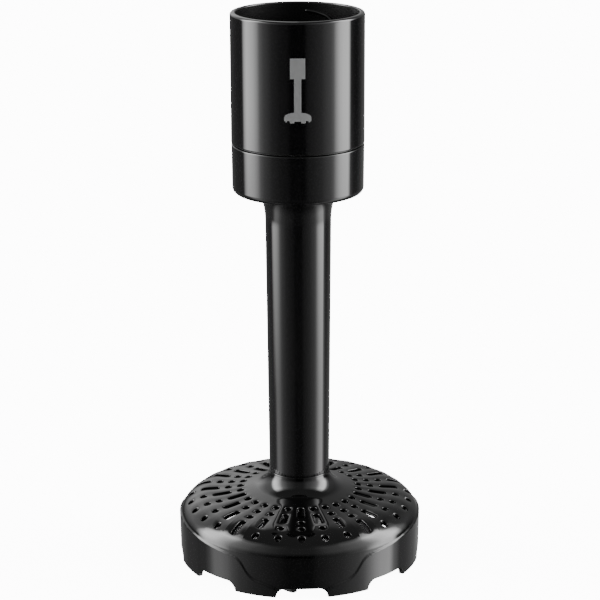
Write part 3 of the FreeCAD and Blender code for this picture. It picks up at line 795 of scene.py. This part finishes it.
def outside_height(radius, size):
    if radius > PLATE_EDGE:
        return shoulder_height(radius, 0.0, size)
    height = plate_height(radius)
    reach = HUB_RADIUS + HUB_FILLET - radius
    if reach > 0:
        part = min(1.0, reach / HUB_FILLET)
        height += HUB_RISE * (1 - math.sqrt(1 - part * part))
    return height


def inside_height(radius, size):
    if radius > PLATE_EDGE:
        return shoulder_height(radius, size.wall, size)
    return plate_height(radius) - size.wall


def flute(radius, angle, size):
    """Depth of the groove that each row of holes sits in; the lands between are left proud."""
    share = ease(radius, FLUTE_START, FLUTE_FULL) * (1 - ease(radius, FLUTE_FADE, FLUTE_END))
    return size.flute_depth * share * abs(math.cos(angle * COLUMNS / 2)) ** 1.4


def flute_at(radius, angle, size):
    """The flute's depth at an angle of the whole foot."""
    pitch = 2 * CELL_HALF
    return flute(radius, (angle + math.pi / 2 + CELL_HALF) % pitch - CELL_HALF, size)


def dome_point(along, across, turned, outside, sink, size):
    """A point of the dome; along and across are measured in the plan of one row of holes."""
    radius = math.hypot(along, across)
    angle = math.atan2(across, along)
    if outside:
        height = outside_height(radius, size) - flute(radius, angle, size) - sink
    else:
        height = inside_height(radius, size) + sink
    return (radius * math.cos(angle + turned), radius * math.sin(angle + turned), height)


def cell_border(near, far, side):
    """Points round one cell of the plate, in order, in the plan of its row."""
    corners = [(near, -CELL_HALF, CELL_SIDE), (near, CELL_HALF, side), (far, CELL_HALF, CELL_SIDE),
               (far, -CELL_HALF, side)]
    spots = []
    for index, (radius, angle, steps) in enumerate(corners):
        next_radius, next_angle, _ = corners[(index + 1) % len(corners)]
        for step in range(steps):
            part = step / steps
            spots.append((radius + (next_radius - radius) * part,
                          angle + (next_angle - angle) * part))
    return [(r * math.cos(a), r * math.sin(a)) for r, a in spots]


def add_cell(points, faces, turned, bounds, hole, size):
    """One cell of the plate with its hole: border, hole edge, bore and the same beneath."""
    border = cell_border(*bounds)
    first, last = hole
    radius = size.hole_radius
    edge = size.hole_edge
    centre_line = []
    for x, y in border:
        nearest = min(last, max(first, x))
        gap = math.hypot(x - nearest, y)
        centre_line.append((nearest, (x - nearest) / gap, y / gap, gap))
    rings = []

    def ring(reach, blend, outside, sink):
        row = []
        for nearest, dx, dy, gap in centre_line:
            distance = reach + (gap - reach) * blend
            row.append(dome_point(nearest + dx * distance, dy * distance, turned, outside, sink,
                                  size))
        rings.append(row)

    ring(radius + edge, 1.0, True, 0.0)
    ring(radius + edge, 0.5, True, 0.0)
    ring(radius + edge, 0.0, True, 0.0)
    for step in (1, 2, 3):
        lean = math.radians(30 * step)
        ring(radius + edge * (1 - math.sin(lean)), 0.0, True, edge * (1 - math.cos(lean)))
    ring(radius, 0.0, False, 0.5 * edge)
    ring(radius + 0.5 * edge, 0.0, False, 0.0)
    ring(radius + 0.5 * edge, 1.0, False, 0.0)
    add_strip(points, faces, rings)


def dome_sector(size, material):
    """Six rows of holes, the slot stepping out and back in again from row to row."""
    points = []
    faces = []
    step = size.station_step
    edges = [size.first_station + step * (index - 0.5) for index in range(STATIONS)] + [DOME_END]
    for column in range(COLUMNS_PER_WAVE):
        turned = -math.pi / 2 + column * 2 * CELL_HALF
        slot_at = min(column, COLUMNS_PER_WAVE - column)
        station = 0
        while station < STATIONS:
            radius = size.first_station + step * station
            if station == slot_at:
                bounds = (edges[station], edges[station + 2], 2 * CELL_SIDE)
                hole = (radius, radius + step)
                station += 2
            else:
                bounds = (edges[station], edges[station + 1], CELL_SIDE)
                hole = (radius, radius)
                station += 1
            add_cell(points, faces, turned, bounds, hole, size)
    return mesh_object("masher_foot_shell", points, faces, material)


def even_angles():
    """The angles of the plate's borders, once round the foot."""
    count = COLUMNS * CELL_SIDE
    start = -math.pi / 2 - CELL_HALF
    return [start + 2 * math.pi * index / count for index in range(count)]


def add_zip(points, faces, coarse_angles, coarse_row, fine_angles, fine_row):
    """Triangles between two rows that have different points round the axis."""
    turn = 2 * math.pi

    def placed(angles, row):
        """(turn from the first coarse point, index) in order, the first one again at the end."""
        marks = sorted(((angle - coarse_angles[0]) % turn, len(points) + index)
                       for index, angle in enumerate(angles))
        points.extend(row)
        return marks + [(marks[0][0] + turn, marks[0][1])]

    coarse = placed(coarse_angles, coarse_row)
    fine = placed(fine_angles, fine_row)
    i = 0
    j = 0
    while i < len(coarse_row) or j < len(fine_row):
        here = coarse[i][1]
        there = fine[j][1]
        if j == len(fine_row) or i < len(coarse_row) and coarse[i + 1][0] <= fine[j + 1][0]:
            i += 1
            faces.append((here, coarse[i][1], there))
        else:
            j += 1
            faces.append((here, fine[j][1], there))


def monotone(corners, at):
    """The height of a smooth line through (across, up) corners, without overshoot."""
    places = [corner[0] for corner in corners]
    if at <= places[0]:
        return corners[0][1]
    if at >= places[-1]:
        return corners[-1][1]
    index = bisect.bisect_right(places, at) - 1

    def slope(k):
        if k <= 0 or k >= len(corners) - 1:
            return 0.0
        left = (corners[k][1] - corners[k - 1][1]) / (corners[k][0] - corners[k - 1][0])
        right = (corners[k + 1][1] - corners[k][1]) / (corners[k + 1][0] - corners[k][0])
        return 0.0 if left * right <= 0 else 2 * left * right / (left + right)

    width = places[index + 1] - places[index]
    part = (at - places[index]) / width
    low = corners[index][1]
    high = corners[index + 1][1]
    start = slope(index) * width
    end = slope(index + 1) * width
    return (low * (1 + 2 * part) * (1 - part) ** 2 + start * part * (1 - part) ** 2
            + high * part * part * (3 - 2 * part) + end * part * part * (part - 1))


# the upper edge of a side panel: degrees from the middle of the front, millimetres up
PANEL_LINE = [(8.5, -2.0), (10.3, 2.6), (13.0, 4.6), (18.0, 6.3), (22.5, 7.5), (25.5, 9.6),
              (27.6, 12.2), (29.6, 15.0), (32.0, 16.8), (35.5, 17.7), (46.0, 18.9), (60.0, 20.2),
              (75.0, 21.4), (90.0, 22.0)]


def panel_share(angle, height):
    """1 on a side panel, 0 on the shoulder and its tongues, with a narrow slope between."""
    off_front = abs(math.degrees(math.atan2(math.cos(angle), -math.sin(angle))))
    folded = min(off_front, 180 - off_front)
    line = monotone(PANEL_LINE, folded)
    nearby = 0.4
    degree = math.radians(1) * 56.0
    slope = 0.25
    rise = monotone(PANEL_LINE, folded + nearby) - monotone(PANEL_LINE, folded - nearby)
    distance = (line - height / MM) / math.hypot(1.0, rise / (2 * nearby * degree))
    return ease(distance, -slope, slope)


def skirt_base(height, size):
    if height >= SHOULDER_LOW:
        part = min(1.0, (height - SHOULDER_LOW) / SHOULDER_HEIGHT)
        return SHOULDER_START + (size.skirt_radius - SHOULDER_START) * math.sqrt(1 - part * part)
    return size.skirt_radius - SKIRT_DRAFT * (1 - height / SHOULDER_LOW)


def skirt_radius(angle, height, size):
    base = skirt_base(height, size)
    if base > DOME_END and height > SHOULDER_LOW:
        base -= flute_at(base, angle, size)
    panel = size.panel_radius - PANEL_DRAFT * (1 - height / PANEL_TOP)
    return base + max(0.0, panel - base) * panel_share(angle, height)


# degrees from the middle of a notch: to the end of its flat top, to its foot, and to the points
# that trace its rounded side
NOTCH_FLAT = 8.2
NOTCH_HALF = 12.4
NOTCH_SIDE = (12.4, 12.36, 12.2, 11.9, 11.5, 11.0, 10.4, 9.6, 8.8)
NOTCH_POWER = 1.7


def rim_height(angle, size):
    """The lower edge of the skirt: on the floor at the lugs, raised in the notches."""
    pitch = 360.0 / size.notches
    turned = (math.degrees(angle) + 90.0) % pitch
    off = min(turned, pitch - turned)
    if off >= NOTCH_HALF:
        return 0.0
    part = max(0.0, (off - NOTCH_FLAT) / (NOTCH_HALF - NOTCH_FLAT))
    return size.notch_height * (1 - part ** NOTCH_POWER) ** (1 / NOTCH_POWER)


def skirt_angles(size):
    """Angles round the skirt, close together where a panel's edge or a notch's side runs."""
    marks = {tenth / 10 for tenth in range(0, 3600, 12)}
    panel_side = [9.0 + 0.4 * step for step in range(68)]
    pitch = 360.0 / size.notches
    traced = [(0.0, panel_side), (180.0, panel_side)]
    traced += [(notch * pitch, NOTCH_SIDE) for notch in range(size.notches)]
    for middle, offsets in traced:
        for off in offsets:
            marks.add(round((middle + off) % 360, 3))
            marks.add(round((middle - off) % 360, 3))
    closest = 0.035
    kept = []
    for mark in sorted(marks):
        if not kept or mark - kept[-1] > closest:
            kept.append(mark)
    return [math.radians(mark - 90.0) for mark in kept]


def skirt_rows(angles, size):
    """The skirt from the end of the perforated plate, down, round the rim and up inside."""
    join_height = 5.0 * MM
    level_step = 0.42 * MM
    first_drop = 0.35 * MM
    edge = 0.3 * MM
    first = outside_height(DOME_END, size) - first_drop
    levels = int((first - join_height) / level_step)
    inner = size.skirt_radius - size.wall
    rows = []

    def blended(a, part):
        low = rim_height(a, size) + edge
        return join_height + (low - join_height) * part

    def add_row(radius_of, height_of):
        rows.append(ring_points(angles, radius_of, height_of))

    def add_outer(height_of):
        add_row(lambda a: skirt_radius(a, height_of(a), size), height_of)

    for level in range(levels + 1):
        add_outer(lambda a: first + (join_height - first) * level / levels)
    for level in range(1, 9):
        add_outer(lambda a: blended(a, level / 8))
    for turned in (math.radians(30), math.radians(60), math.radians(90)):
        add_row(lambda a: skirt_radius(a, blended(a, 1.0), size) - edge * (1 - math.cos(turned)),
                lambda a: rim_height(a, size) + edge * (1 - math.sin(turned)))
    for turned in (math.radians(90), math.radians(45), 0.0):
        add_row(lambda a: inner + edge * (1 - math.cos(turned)),
                lambda a: rim_height(a, size) + edge * (1 - math.sin(turned)))
    for height in (6.0, 9.0, 12.0, 15.0, 18.0):
        add_row(lambda a: inner, lambda a: height * MM)
    return rows


def inner_shoulder_rows(angles, size):
    """The inside of the shoulder, from the skirt's inner wall back to the plate."""
    rows = []
    reach = size.skirt_radius - SHOULDER_START - size.wall
    rise = SHOULDER_HEIGHT - size.wall
    last = math.acos((DOME_END - SHOULDER_START) / reach)
    for step in range(6):
        lean = last * step / 5
        rows.append(ring_points(angles, lambda a: SHOULDER_START + reach * math.cos(lean),
                                lambda a: SHOULDER_LOW + rise * math.sin(lean)))
    return rows


def hub_rows(angles, near, size):
    """The middle of the foot: from the plate in to the hub, over it, and back beneath."""
    seam = 0.1 * MM
    top = foot_of("stem") - seam
    bore = 7.0 * MM
    tube = 10.0 * MM
    tube_low = foot_of("masher_foot") + 21.0 * MM
    bevel = 0.4 * MM
    fillet = 2.0 * MM
    fillet_lead = 0.6 * MM
    hub_foot = HUB_RADIUS + HUB_FILLET
    radii = [near + (hub_foot - near) * step / 6 for step in range(7)]
    for step in range(1, 15):
        lean = math.radians(90 * step / 14)
        radii.append(HUB_RADIUS + HUB_FILLET * (1 - math.sin(lean)))
    rows = [ring_points(angles, lambda a: radius,
                        lambda a: outside_height(radius, size) - flute_at(radius, a, size))
            for radius in radii]
    spots = [(HUB_RADIUS, top - SEAM_EDGE), (HUB_RADIUS - SEAM_CORNER, top - SEAM_CORNER)]
    spots += [(HUB_RADIUS - SEAM_EDGE, top), (bore, top), (bore, tube_low)]
    spots += [(tube - bevel, tube_low), (tube, tube_low + bevel)]
    fillet_end = tube + fillet
    under = inside_height(fillet_end, size)
    spots += [(tube, under - fillet), (tube + fillet_lead, under - fillet_lead)]
    for step in range(5):
        radius = fillet_end + (near - fillet_end) * step / 4
        spots.append((radius, inside_height(radius, size)))
    return rows + [ring_points(angles, lambda a: radius, lambda a: height)
                   for radius, height in spots]


class MASHER_OT_foot(bpy.types.Operator):
    """Build the perforated foot with its fluted plate, side panels and notched rim"""

    bl_idname = "masher.foot"
    bl_label = "Masher foot"

    def execute(self, context):
        size = context.scene.masher_foot
        satin = finish("satin_black")
        foot = dome_sector(size, satin)
        repeat_around(foot, COLUMNS // COLUMNS_PER_WAVE, 0.0, satin)
        even = even_angles()
        fine = skirt_angles(size)
        points = []
        faces = []
        add_strip(points, faces, hub_rows(even, size.first_station - size.station_step / 2, size))
        rows = skirt_rows(fine, size)
        add_strip(points, faces, rows)
        outer_edge = ring_points(even, lambda a: DOME_END,
                                 lambda a: outside_height(DOME_END, size)
                                 - flute_at(DOME_END, a, size))
        add_zip(points, faces, even, outer_edge, fine, rows[0])
        under = inner_shoulder_rows(fine, size)
        add_strip(points, faces, [rows[-1]] + under[:-1])
        inner_edge = ring_points(even, lambda a: DOME_END,
                                 lambda a: inside_height(DOME_END, size))
        add_zip(points, faces, even, inner_edge, fine, under[-2])
        rest = mesh_object("foot_rest", points, faces, satin)
        foot = join("masher_foot_shell", [foot, rest], 4e-6)
        foot.data.transform(Matrix.Rotation(size.clock, 4, "Z"))
        smooth(foot, math.radians(50))
        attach(foot, LEG_BODY)
        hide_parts("masher_foot")
        return {"FINISHED"}


# ---------------------------------------------------------------- printed symbol

# the symbol's notched foot, from its end inwards: share of its half width, height of its lower edge
TEETH = [(0.92, 1.5), (0.78, 0.8), (0.58, 1.7), (0.26, 0.2), (-1.0, 1.3)]


def symbol_strips(size):
    """A plain masher pictogram as three patches: a handle block, a stick and a notched foot.

    Each patch is a list of (across, lower edge, upper edge)."""
    tall = size.height
    half = size.foot_width / 2
    foot_tall = 0.17 * tall
    block_low = 0.685 * tall
    block = 0.28 * size.foot_width
    stick = 0.133 * size.foot_width
    tooth = 0.024 * tall

    def slab(reach, low, high):
        return [(-reach + 2 * reach * step / 12, low, high) for step in range(13)]

    feet = []
    steps = 60
    for step in range(steps + 1):
        across = -1 + 2 * step / steps
        away = abs(across)
        upper = foot_tall * (0.52 + 0.48 * math.sqrt(1 - min(1.0, away) ** 2.6))
        lower = next(depth for edge, depth in TEETH if away > edge) * tooth
        feet.append((across * half, lower, max(upper, lower + tooth)))
    return [slab(block, block_low, tall), slab(stick, foot_tall * 0.99, block_low), feet]


class MASHER_OT_symbol(bpy.types.Operator):
    """Print the masher symbol on the front of the collar"""

    bl_idname = "masher.symbol"
    bl_label = "Printed symbol"

    def execute(self, context):
        size = context.scene.masher_symbol
        radius = half_width("drive_collar")
        base = foot_of("drive_collar") + size.low
        proud = 0.02 * MM
        film = 0.05 * MM
        face = radius + proud
        back = face - film

        def row(across, low, high):
            turned = -math.pi / 2 + across / radius
            corners = ((face, low), (face, high), (back, high), (back, low))
            return [(reach * math.cos(turned), reach * math.sin(turned), base + height)
                    for reach, height in corners]

        patches = [[row(*edge) for edge in strip] for strip in symbol_strips(size)]
        symbol = bars("printed_symbol", patches, printed_ink(size.ink))
        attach(symbol, GEAR_BODY)
        return {"FINISHED"}


# ---------------------------------------------------------------- paddle

def paddle_top(radius):
    """The upper edge of a blade, which follows the inside of the dome."""
    high = 26.3 * MM
    dish = 1.9 * MM
    fall = 7.4 * MM
    start = 28.0 * MM
    shoulder = 43.0 * MM
    return high - dish * ease(radius, start, shoulder) - fall * ease(radius, shoulder, DOME_END)


def sickle(size, material):
    """One sickle blade from inside the hub to its rounded tip, with rounded edges."""
    tip = size.tip
    half = tip / 2
    bend = (half * half + size.sag ** 2) / (2 * size.sag)
    sweep = math.asin(half / bend)
    steps = 40
    around = 24
    rows = []
    low = size.low
    round_size = 0.45 * size.blade
    first = 0.12
    tip_share = 0.05
    tip_drop = 1.2 * MM
    thinnest = 0.12
    root = 20.4 * MM
    root_rise = 6.0 * MM
    for step in range(steps + 1):
        share = first + (1 - first) * step / steps
        turned = -sweep + 2 * sweep * share
        along = Vector((half + bend * math.sin(turned), bend - size.sag - bend * math.cos(turned)))
        heading = Vector((math.cos(turned), math.sin(turned)))
        side = Vector((-heading.y, heading.x))
        radius = min(tip, along.length)
        high = min(paddle_top(radius), root + root_rise * ease(radius, 11.0 * MM, 14.0 * MM))
        narrow = rounded_end((1 - share) / tip_share)
        thick = size.blade / 2 * max(thinnest, narrow)
        inset = tip_drop * (1 - narrow)
        row = []
        for corner, (cx, cz) in enumerate(((1, 1), (-1, 1), (-1, -1), (1, -1))):
            for part in range(around // 4):
                lean = math.radians(90 * corner + 90 * part / (around // 4 - 1))
                bulge = min(round_size, thick)
                px = cx * (thick - bulge) + bulge * math.cos(lean)
                if cz > 0:
                    pz = high - inset - bulge + bulge * math.sin(lean)
                else:
                    pz = low + inset + bulge + bulge * math.sin(lean)
                spot = along + side * px
                row.append((spot.x, spot.y, pz))
        rows.append(row)
    blade = bars("paddle_shell", [rows], material)
    blade.data.transform(Matrix.Rotation(size.aim, 4, "Z"))
    return blade


def paddle_hub(size, low, high, material):
    edge = 0.8 * MM
    bore = 3.15 * MM
    groove = 5.0 * MM
    cap = low + 3.5 * MM
    ring_low = foot_of("paddle_grip_ring")
    ring_high = top_of("paddle_grip_ring")
    outline = [(0.0, low)] + arc(size.hub - edge, low + edge, edge, edge, -90, 0, 5)
    outline += arc(size.hub - edge, high - edge, edge, edge, 0, 90, 5)
    outline += [(bore, high), (bore, ring_high), (groove, ring_high), (groove, ring_low)]
    outline += [(bore, ring_low), (bore, cap), (0.0, cap)]
    return lathe("paddle_hub", outline, HUB_SIDES, material)


class MASHER_OT_paddle(bpy.types.Operator):
    """Build the paddle that turns under the foot"""

    bl_idname = "masher.paddle"
    bl_label = "Paddle"

    def execute(self, context):
        size = context.scene.masher_paddle
        inner = finish("inner_black")
        blades = repeat_around(sickle(size, inner), size.blades, 0.0, inner)
        hub = paddle_hub(size, foot_of("paddle"), foot_of("paddle") + size.hub_height, inner)
        paddle = join("paddle_shell", [blades, hub])
        smooth(paddle)
        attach(paddle, PADDLE_BODY)
        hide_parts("paddle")
        return {"FINISHED"}


# ---------------------------------------------------------------- socket floor

def floor_rib(size, material):
    """One low radial rib between the socket's hub and its rim, with a rounded back."""
    inner = 8.0 * MM
    outer = 24.6 * MM
    base = foot_of("socket_floor") + 3.9 * MM
    tall = 1.5 * MM
    outer_tall = 0.3 * MM
    half = 0.6 * MM
    steps = 10
    rows = []
    for reach, rise in ((inner, tall), (outer - half, tall), (outer, outer_tall)):
        row = []
        for step in range(steps + 1):
            lean = math.pi * step / steps
            row.append((reach, half * math.cos(lean), base + rise * math.sin(lean) ** 0.5))
        rows.append(row)
    return bars("socket_floor_ribs", [rows], material)


class MASHER_OT_socket(bpy.types.Operator):
    """Build the ribbed floor of the socket and its hub"""

    bl_idname = "masher.socket"
    bl_label = "Socket floor"

    def execute(self, context):
        size = context.scene.masher_collar
        inner = finish("inner_black")
        low = foot_of("socket_floor")
        high = top_of("socket_floor")
        outer = half_width("socket_floor")
        deck = low + 4.0 * MM
        bore = 5.0 * MM
        hub = 8.0 * MM
        edge = 0.5 * MM
        bevel = 0.3 * MM
        fillet = 1.5 * MM
        outline = [(bore, low), (outer, low), (outer, deck)]
        outline += arc(hub + fillet, deck + fillet, fillet, fillet, 270, 180, 6)
        outline += arc(hub - edge, high - edge, edge, edge, 0, 90, 5)
        outline += [(bore + bevel, high), (bore, high - bevel)]
        floor = lathe("socket_floor_shell", outline, FLOOR_SIDES, inner)
        ribs = repeat_around(floor_rib(size, inner), size.floor_ribs, math.radians(15), inner)
        floor = join("socket_floor_shell", [floor, ribs])
        smooth(floor)
        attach(floor, GEAR_BODY)
        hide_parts("socket_floor")
        return {"FINISHED"}


# ---------------------------------------------------------------- carried nodes

class MASHER_OT_works(bpy.types.Operator):
    """Give the gearbox, shaft, bushes and seals their finishes"""

    bl_idname = "masher.works"
    bl_label = "Gearbox and shaft"

    def execute(self, context):
        for entry in frame["record"]["subparts"]:
            item = frame["nodes"][entry["node"]]
            material = finish(entry["material_slot"])
            for spot in item.material_slots:
                spot.material = material
            if not item.material_slots:
                item.data.materials.append(material)
        return {"FINISHED"}


# ---------------------------------------------------------------- stage

# what shines on the attachment, round the horizon: degrees from the camera's side, then how bright
# it is well below the horizon, just below it, and above it
PANORAMA = [
    (-180, 0.6, 0.15, 1.0), (-160, 0.25, 0.12, 1.6), (-137, 0.18, 0.12, 1.1), (-120, 0.25, 0.12, 1.2),
    (-114, 0.25, 0.15, 1.8), (-109, 0.3, 0.25, 8.0), (-103, 0.35, 5.6, 15.5), (-97, 0.8, 9.6, 16.0),
    (-90, 2.0, 9.4, 15.0), (-82, 2.2, 8.2, 10.0), (-74, 1.8, 5.2, 5.5), (-68, 1.2, 2.1, 3.2),
    (-60, 0.75, 1.1, 2.2), (-45, 0.42, 0.38, 1.0), (-30, 0.26, 0.15, 0.6), (-18, 0.15, 0.10, 0.35),
    (-11, 0.08, 0.0, 0.3), (11, 0.08, 0.0, 0.3), (17, 0.18, 0.18, 0.4), (28, 0.3, 0.3, 0.8),
    (41, 0.48, 0.5, 1.1), (58, 0.95, 1.3, 2.0), (64, 1.4, 2.2, 2.6), (70, 2.4, 6.0, 3.8),
    (77, 3.8, 10.0, 7.5), (84, 4.8, 11.2, 13.0), (96, 4.6, 10.4, 16.0), (103, 1.4, 0.3, 15.0),
    (112, 0.35, 0.08, 2.5), (122, 0.3, 0.05, 0.5), (142, 0.35, 0.2, 0.3), (180, 0.6, 0.3, 0.45)]
PEAK = 18.0


def studio_world(size):
    """A dark studio with a tall soft light on each side, a pale backdrop and a soft top light."""
    world = bpy.data.worlds.new("studio")
    bpy.context.scene.world = world
    world.use_nodes = True
    tree = world.node_tree
    tree.nodes.clear()
    add = adder(tree)
    parts = add("ShaderNodeSeparateXYZ", add("ShaderNodeTexCoord").outputs["Generated"]).outputs
    flip = add("ShaderNodeMath", parts["Y"], -1.0, operation="MULTIPLY").outputs["Value"]
    angle = add("ShaderNodeMath", parts["X"], flip, operation="ARCTAN2").outputs["Value"]
    spread = add("ShaderNodeMapRange", angle, From_Min=-math.pi, From_Max=math.pi)

    def band(column):
        ramp = add("ShaderNodeValToRGB", spread.outputs["Result"])
        stops = ramp.color_ramp.elements
        while len(stops) > 1:
            stops.remove(stops[-1])
        for index, row in enumerate(PANORAMA):
            stop = stops[0] if index == 0 else stops.new((row[0] + 180) / 360)
            stop.position = (row[0] + 180) / 360
            stop.color = grey(row[column] / PEAK)
        return ramp.outputs["Color"]

    def above(low, high):
        """0 below the first height of the sky (as a sine), 1 above the second."""
        step = add("ShaderNodeMapRange", parts["Z"], From_Min=low, From_Max=high)
        return step.outputs["Result"]

    low_band = band(1)
    below = add("ShaderNodeVectorMath", low_band, operation="SCALE", Scale=size.under_light)
    colour = mixed(add, above(-0.75, -0.50), below.outputs["Vector"], low_band)
    top = grey(size.top_light / PEAK)
    for low, high, sky in ((-0.34, -0.20, band(2)), (-0.08, 0.26, band(3)), (0.70, 0.84, top)):
        colour = mixed(add, above(low, high), colour, sky)
    around = add("ShaderNodeBackground", colour, PEAK * size.light)
    seen = add("ShaderNodeBackground", grey(1.0), size.backdrop)
    mix = add("ShaderNodeMixShader", add("ShaderNodeLightPath").outputs["Is Camera Ray"],
              around.outputs["Background"], seen.outputs["Background"])
    add("ShaderNodeOutputWorld", mix.outputs["Shader"])


def floor_material(size):
    """A pale table that glows evenly to the camera, with a painted shadow where the foot stands."""
    material, shader, add = new_shader("pale_floor")
    # painted shadow: the camera-only glow fades out between 46 mm and 42 mm from a point 13 mm behind
    # the axis, leaving the floor under the foot dark
    painted_shadow_middle = (0.0, 13.0 * MM, 0.0)
    painted_shadow_radius = 42.0 * MM
    painted_shadow_edge = 46.0 * MM
    place = add("ShaderNodeTexCoord").outputs["Object"]
    away = add("ShaderNodeVectorMath", place, painted_shadow_middle, operation="SUBTRACT")
    glow_past_painted_shadow = add("ShaderNodeMapRange", reach_of(add, away.outputs["Vector"]),
                     interpolation_type="SMOOTHSTEP", From_Min=painted_shadow_radius,
                     From_Max=painted_shadow_edge, To_Max=size.backdrop)
    glow = add("ShaderNodeMath", glow_past_painted_shadow.outputs["Result"],
               add("ShaderNodeLightPath").outputs["Is Camera Ray"], operation="MULTIPLY")
    wire(shader, Base_Color=shade_between(add, noise(add, 6.0, 2.0), (0.86, 0.86, 0.86),
                                          (0.9, 0.9, 0.9)),
         Roughness=0.9, Specular_IOR_Level=0.1, Emission_Color=grey(1.0),
         Emission_Strength=glow.outputs["Value"])
    return material


class MASHER_OT_stage(bpy.types.Operator):
    """Set the camera, the pale floor and the studio light"""

    bl_idname = "masher.stage"
    bl_label = "Stage"

    def execute(self, context):
        size = context.scene.masher_stage
        data = bpy.data.cameras.new("camera")
        data.lens = size.lens
        data.sensor_width = 36.0
        data.shift_x = size.shift
        camera = bpy.data.objects.new("camera", data)
        bpy.context.scene.collection.objects.link(camera)
        camera.location = (0.0, -size.distance, size.height)
        turned = (Matrix.Rotation(math.pi / 2 - size.pitch, 3, "X")
                  @ Matrix.Rotation(size.roll, 3, "Z"))
        camera.rotation_euler = turned.to_euler()
        bpy.context.scene.camera = camera
        reach = 6.0
        floor = mesh_object("floor", [(-reach, -reach, 0), (reach, -reach, 0), (reach, reach, 0),
                                      (-reach, reach, 0)], [(0, 1, 2, 3)], floor_material(size))
        floor.visible_glossy = False
        studio_world(size)
        return {"FINISHED"}


# ---------------------------------------------------------------- panel and run

ORDER = ["stage", "works", "collar", "socket", "symbol", "leg", "foot", "paddle"]


class MASHER_PT_panel(bpy.types.Panel):
    """Lists the pieces that can be built and their settings"""

    bl_idname = "MASHER_PT_panel"
    bl_label = "Masher attachment"
    bl_space_type = "VIEW_3D"
    bl_region_type = "UI"
    bl_category = "Masher"

    def draw(self, context):
        for name in ORDER:
            self.layout.operator("masher." + name)
        for name, group in SETTINGS.items():
            box = self.layout.box()
            for prop in group.__annotations__:
                box.prop(getattr(context.scene, name), prop)


CLASSES = [
    MASHER_OT_stage, MASHER_OT_works, MASHER_OT_collar, MASHER_OT_socket, MASHER_OT_symbol,
    MASHER_OT_leg, MASHER_OT_foot, MASHER_OT_paddle, MASHER_PT_panel]


def register():
    for name, group in SETTINGS.items():
        bpy.utils.register_class(group)
        setattr(bpy.types.Scene, name, PointerProperty(type=group))
    for item in CLASSES:
        bpy.utils.register_class(item)


def unregister():
    for item in reversed(CLASSES):
        bpy.utils.unregister_class(item)
    for name, group in SETTINGS.items():
        delattr(bpy.types.Scene, name)
        bpy.utils.unregister_class(group)


def main():
    register()
    for name in ORDER:
        getattr(bpy.ops.masher, name)()


if __name__ == "__main__":
    main()
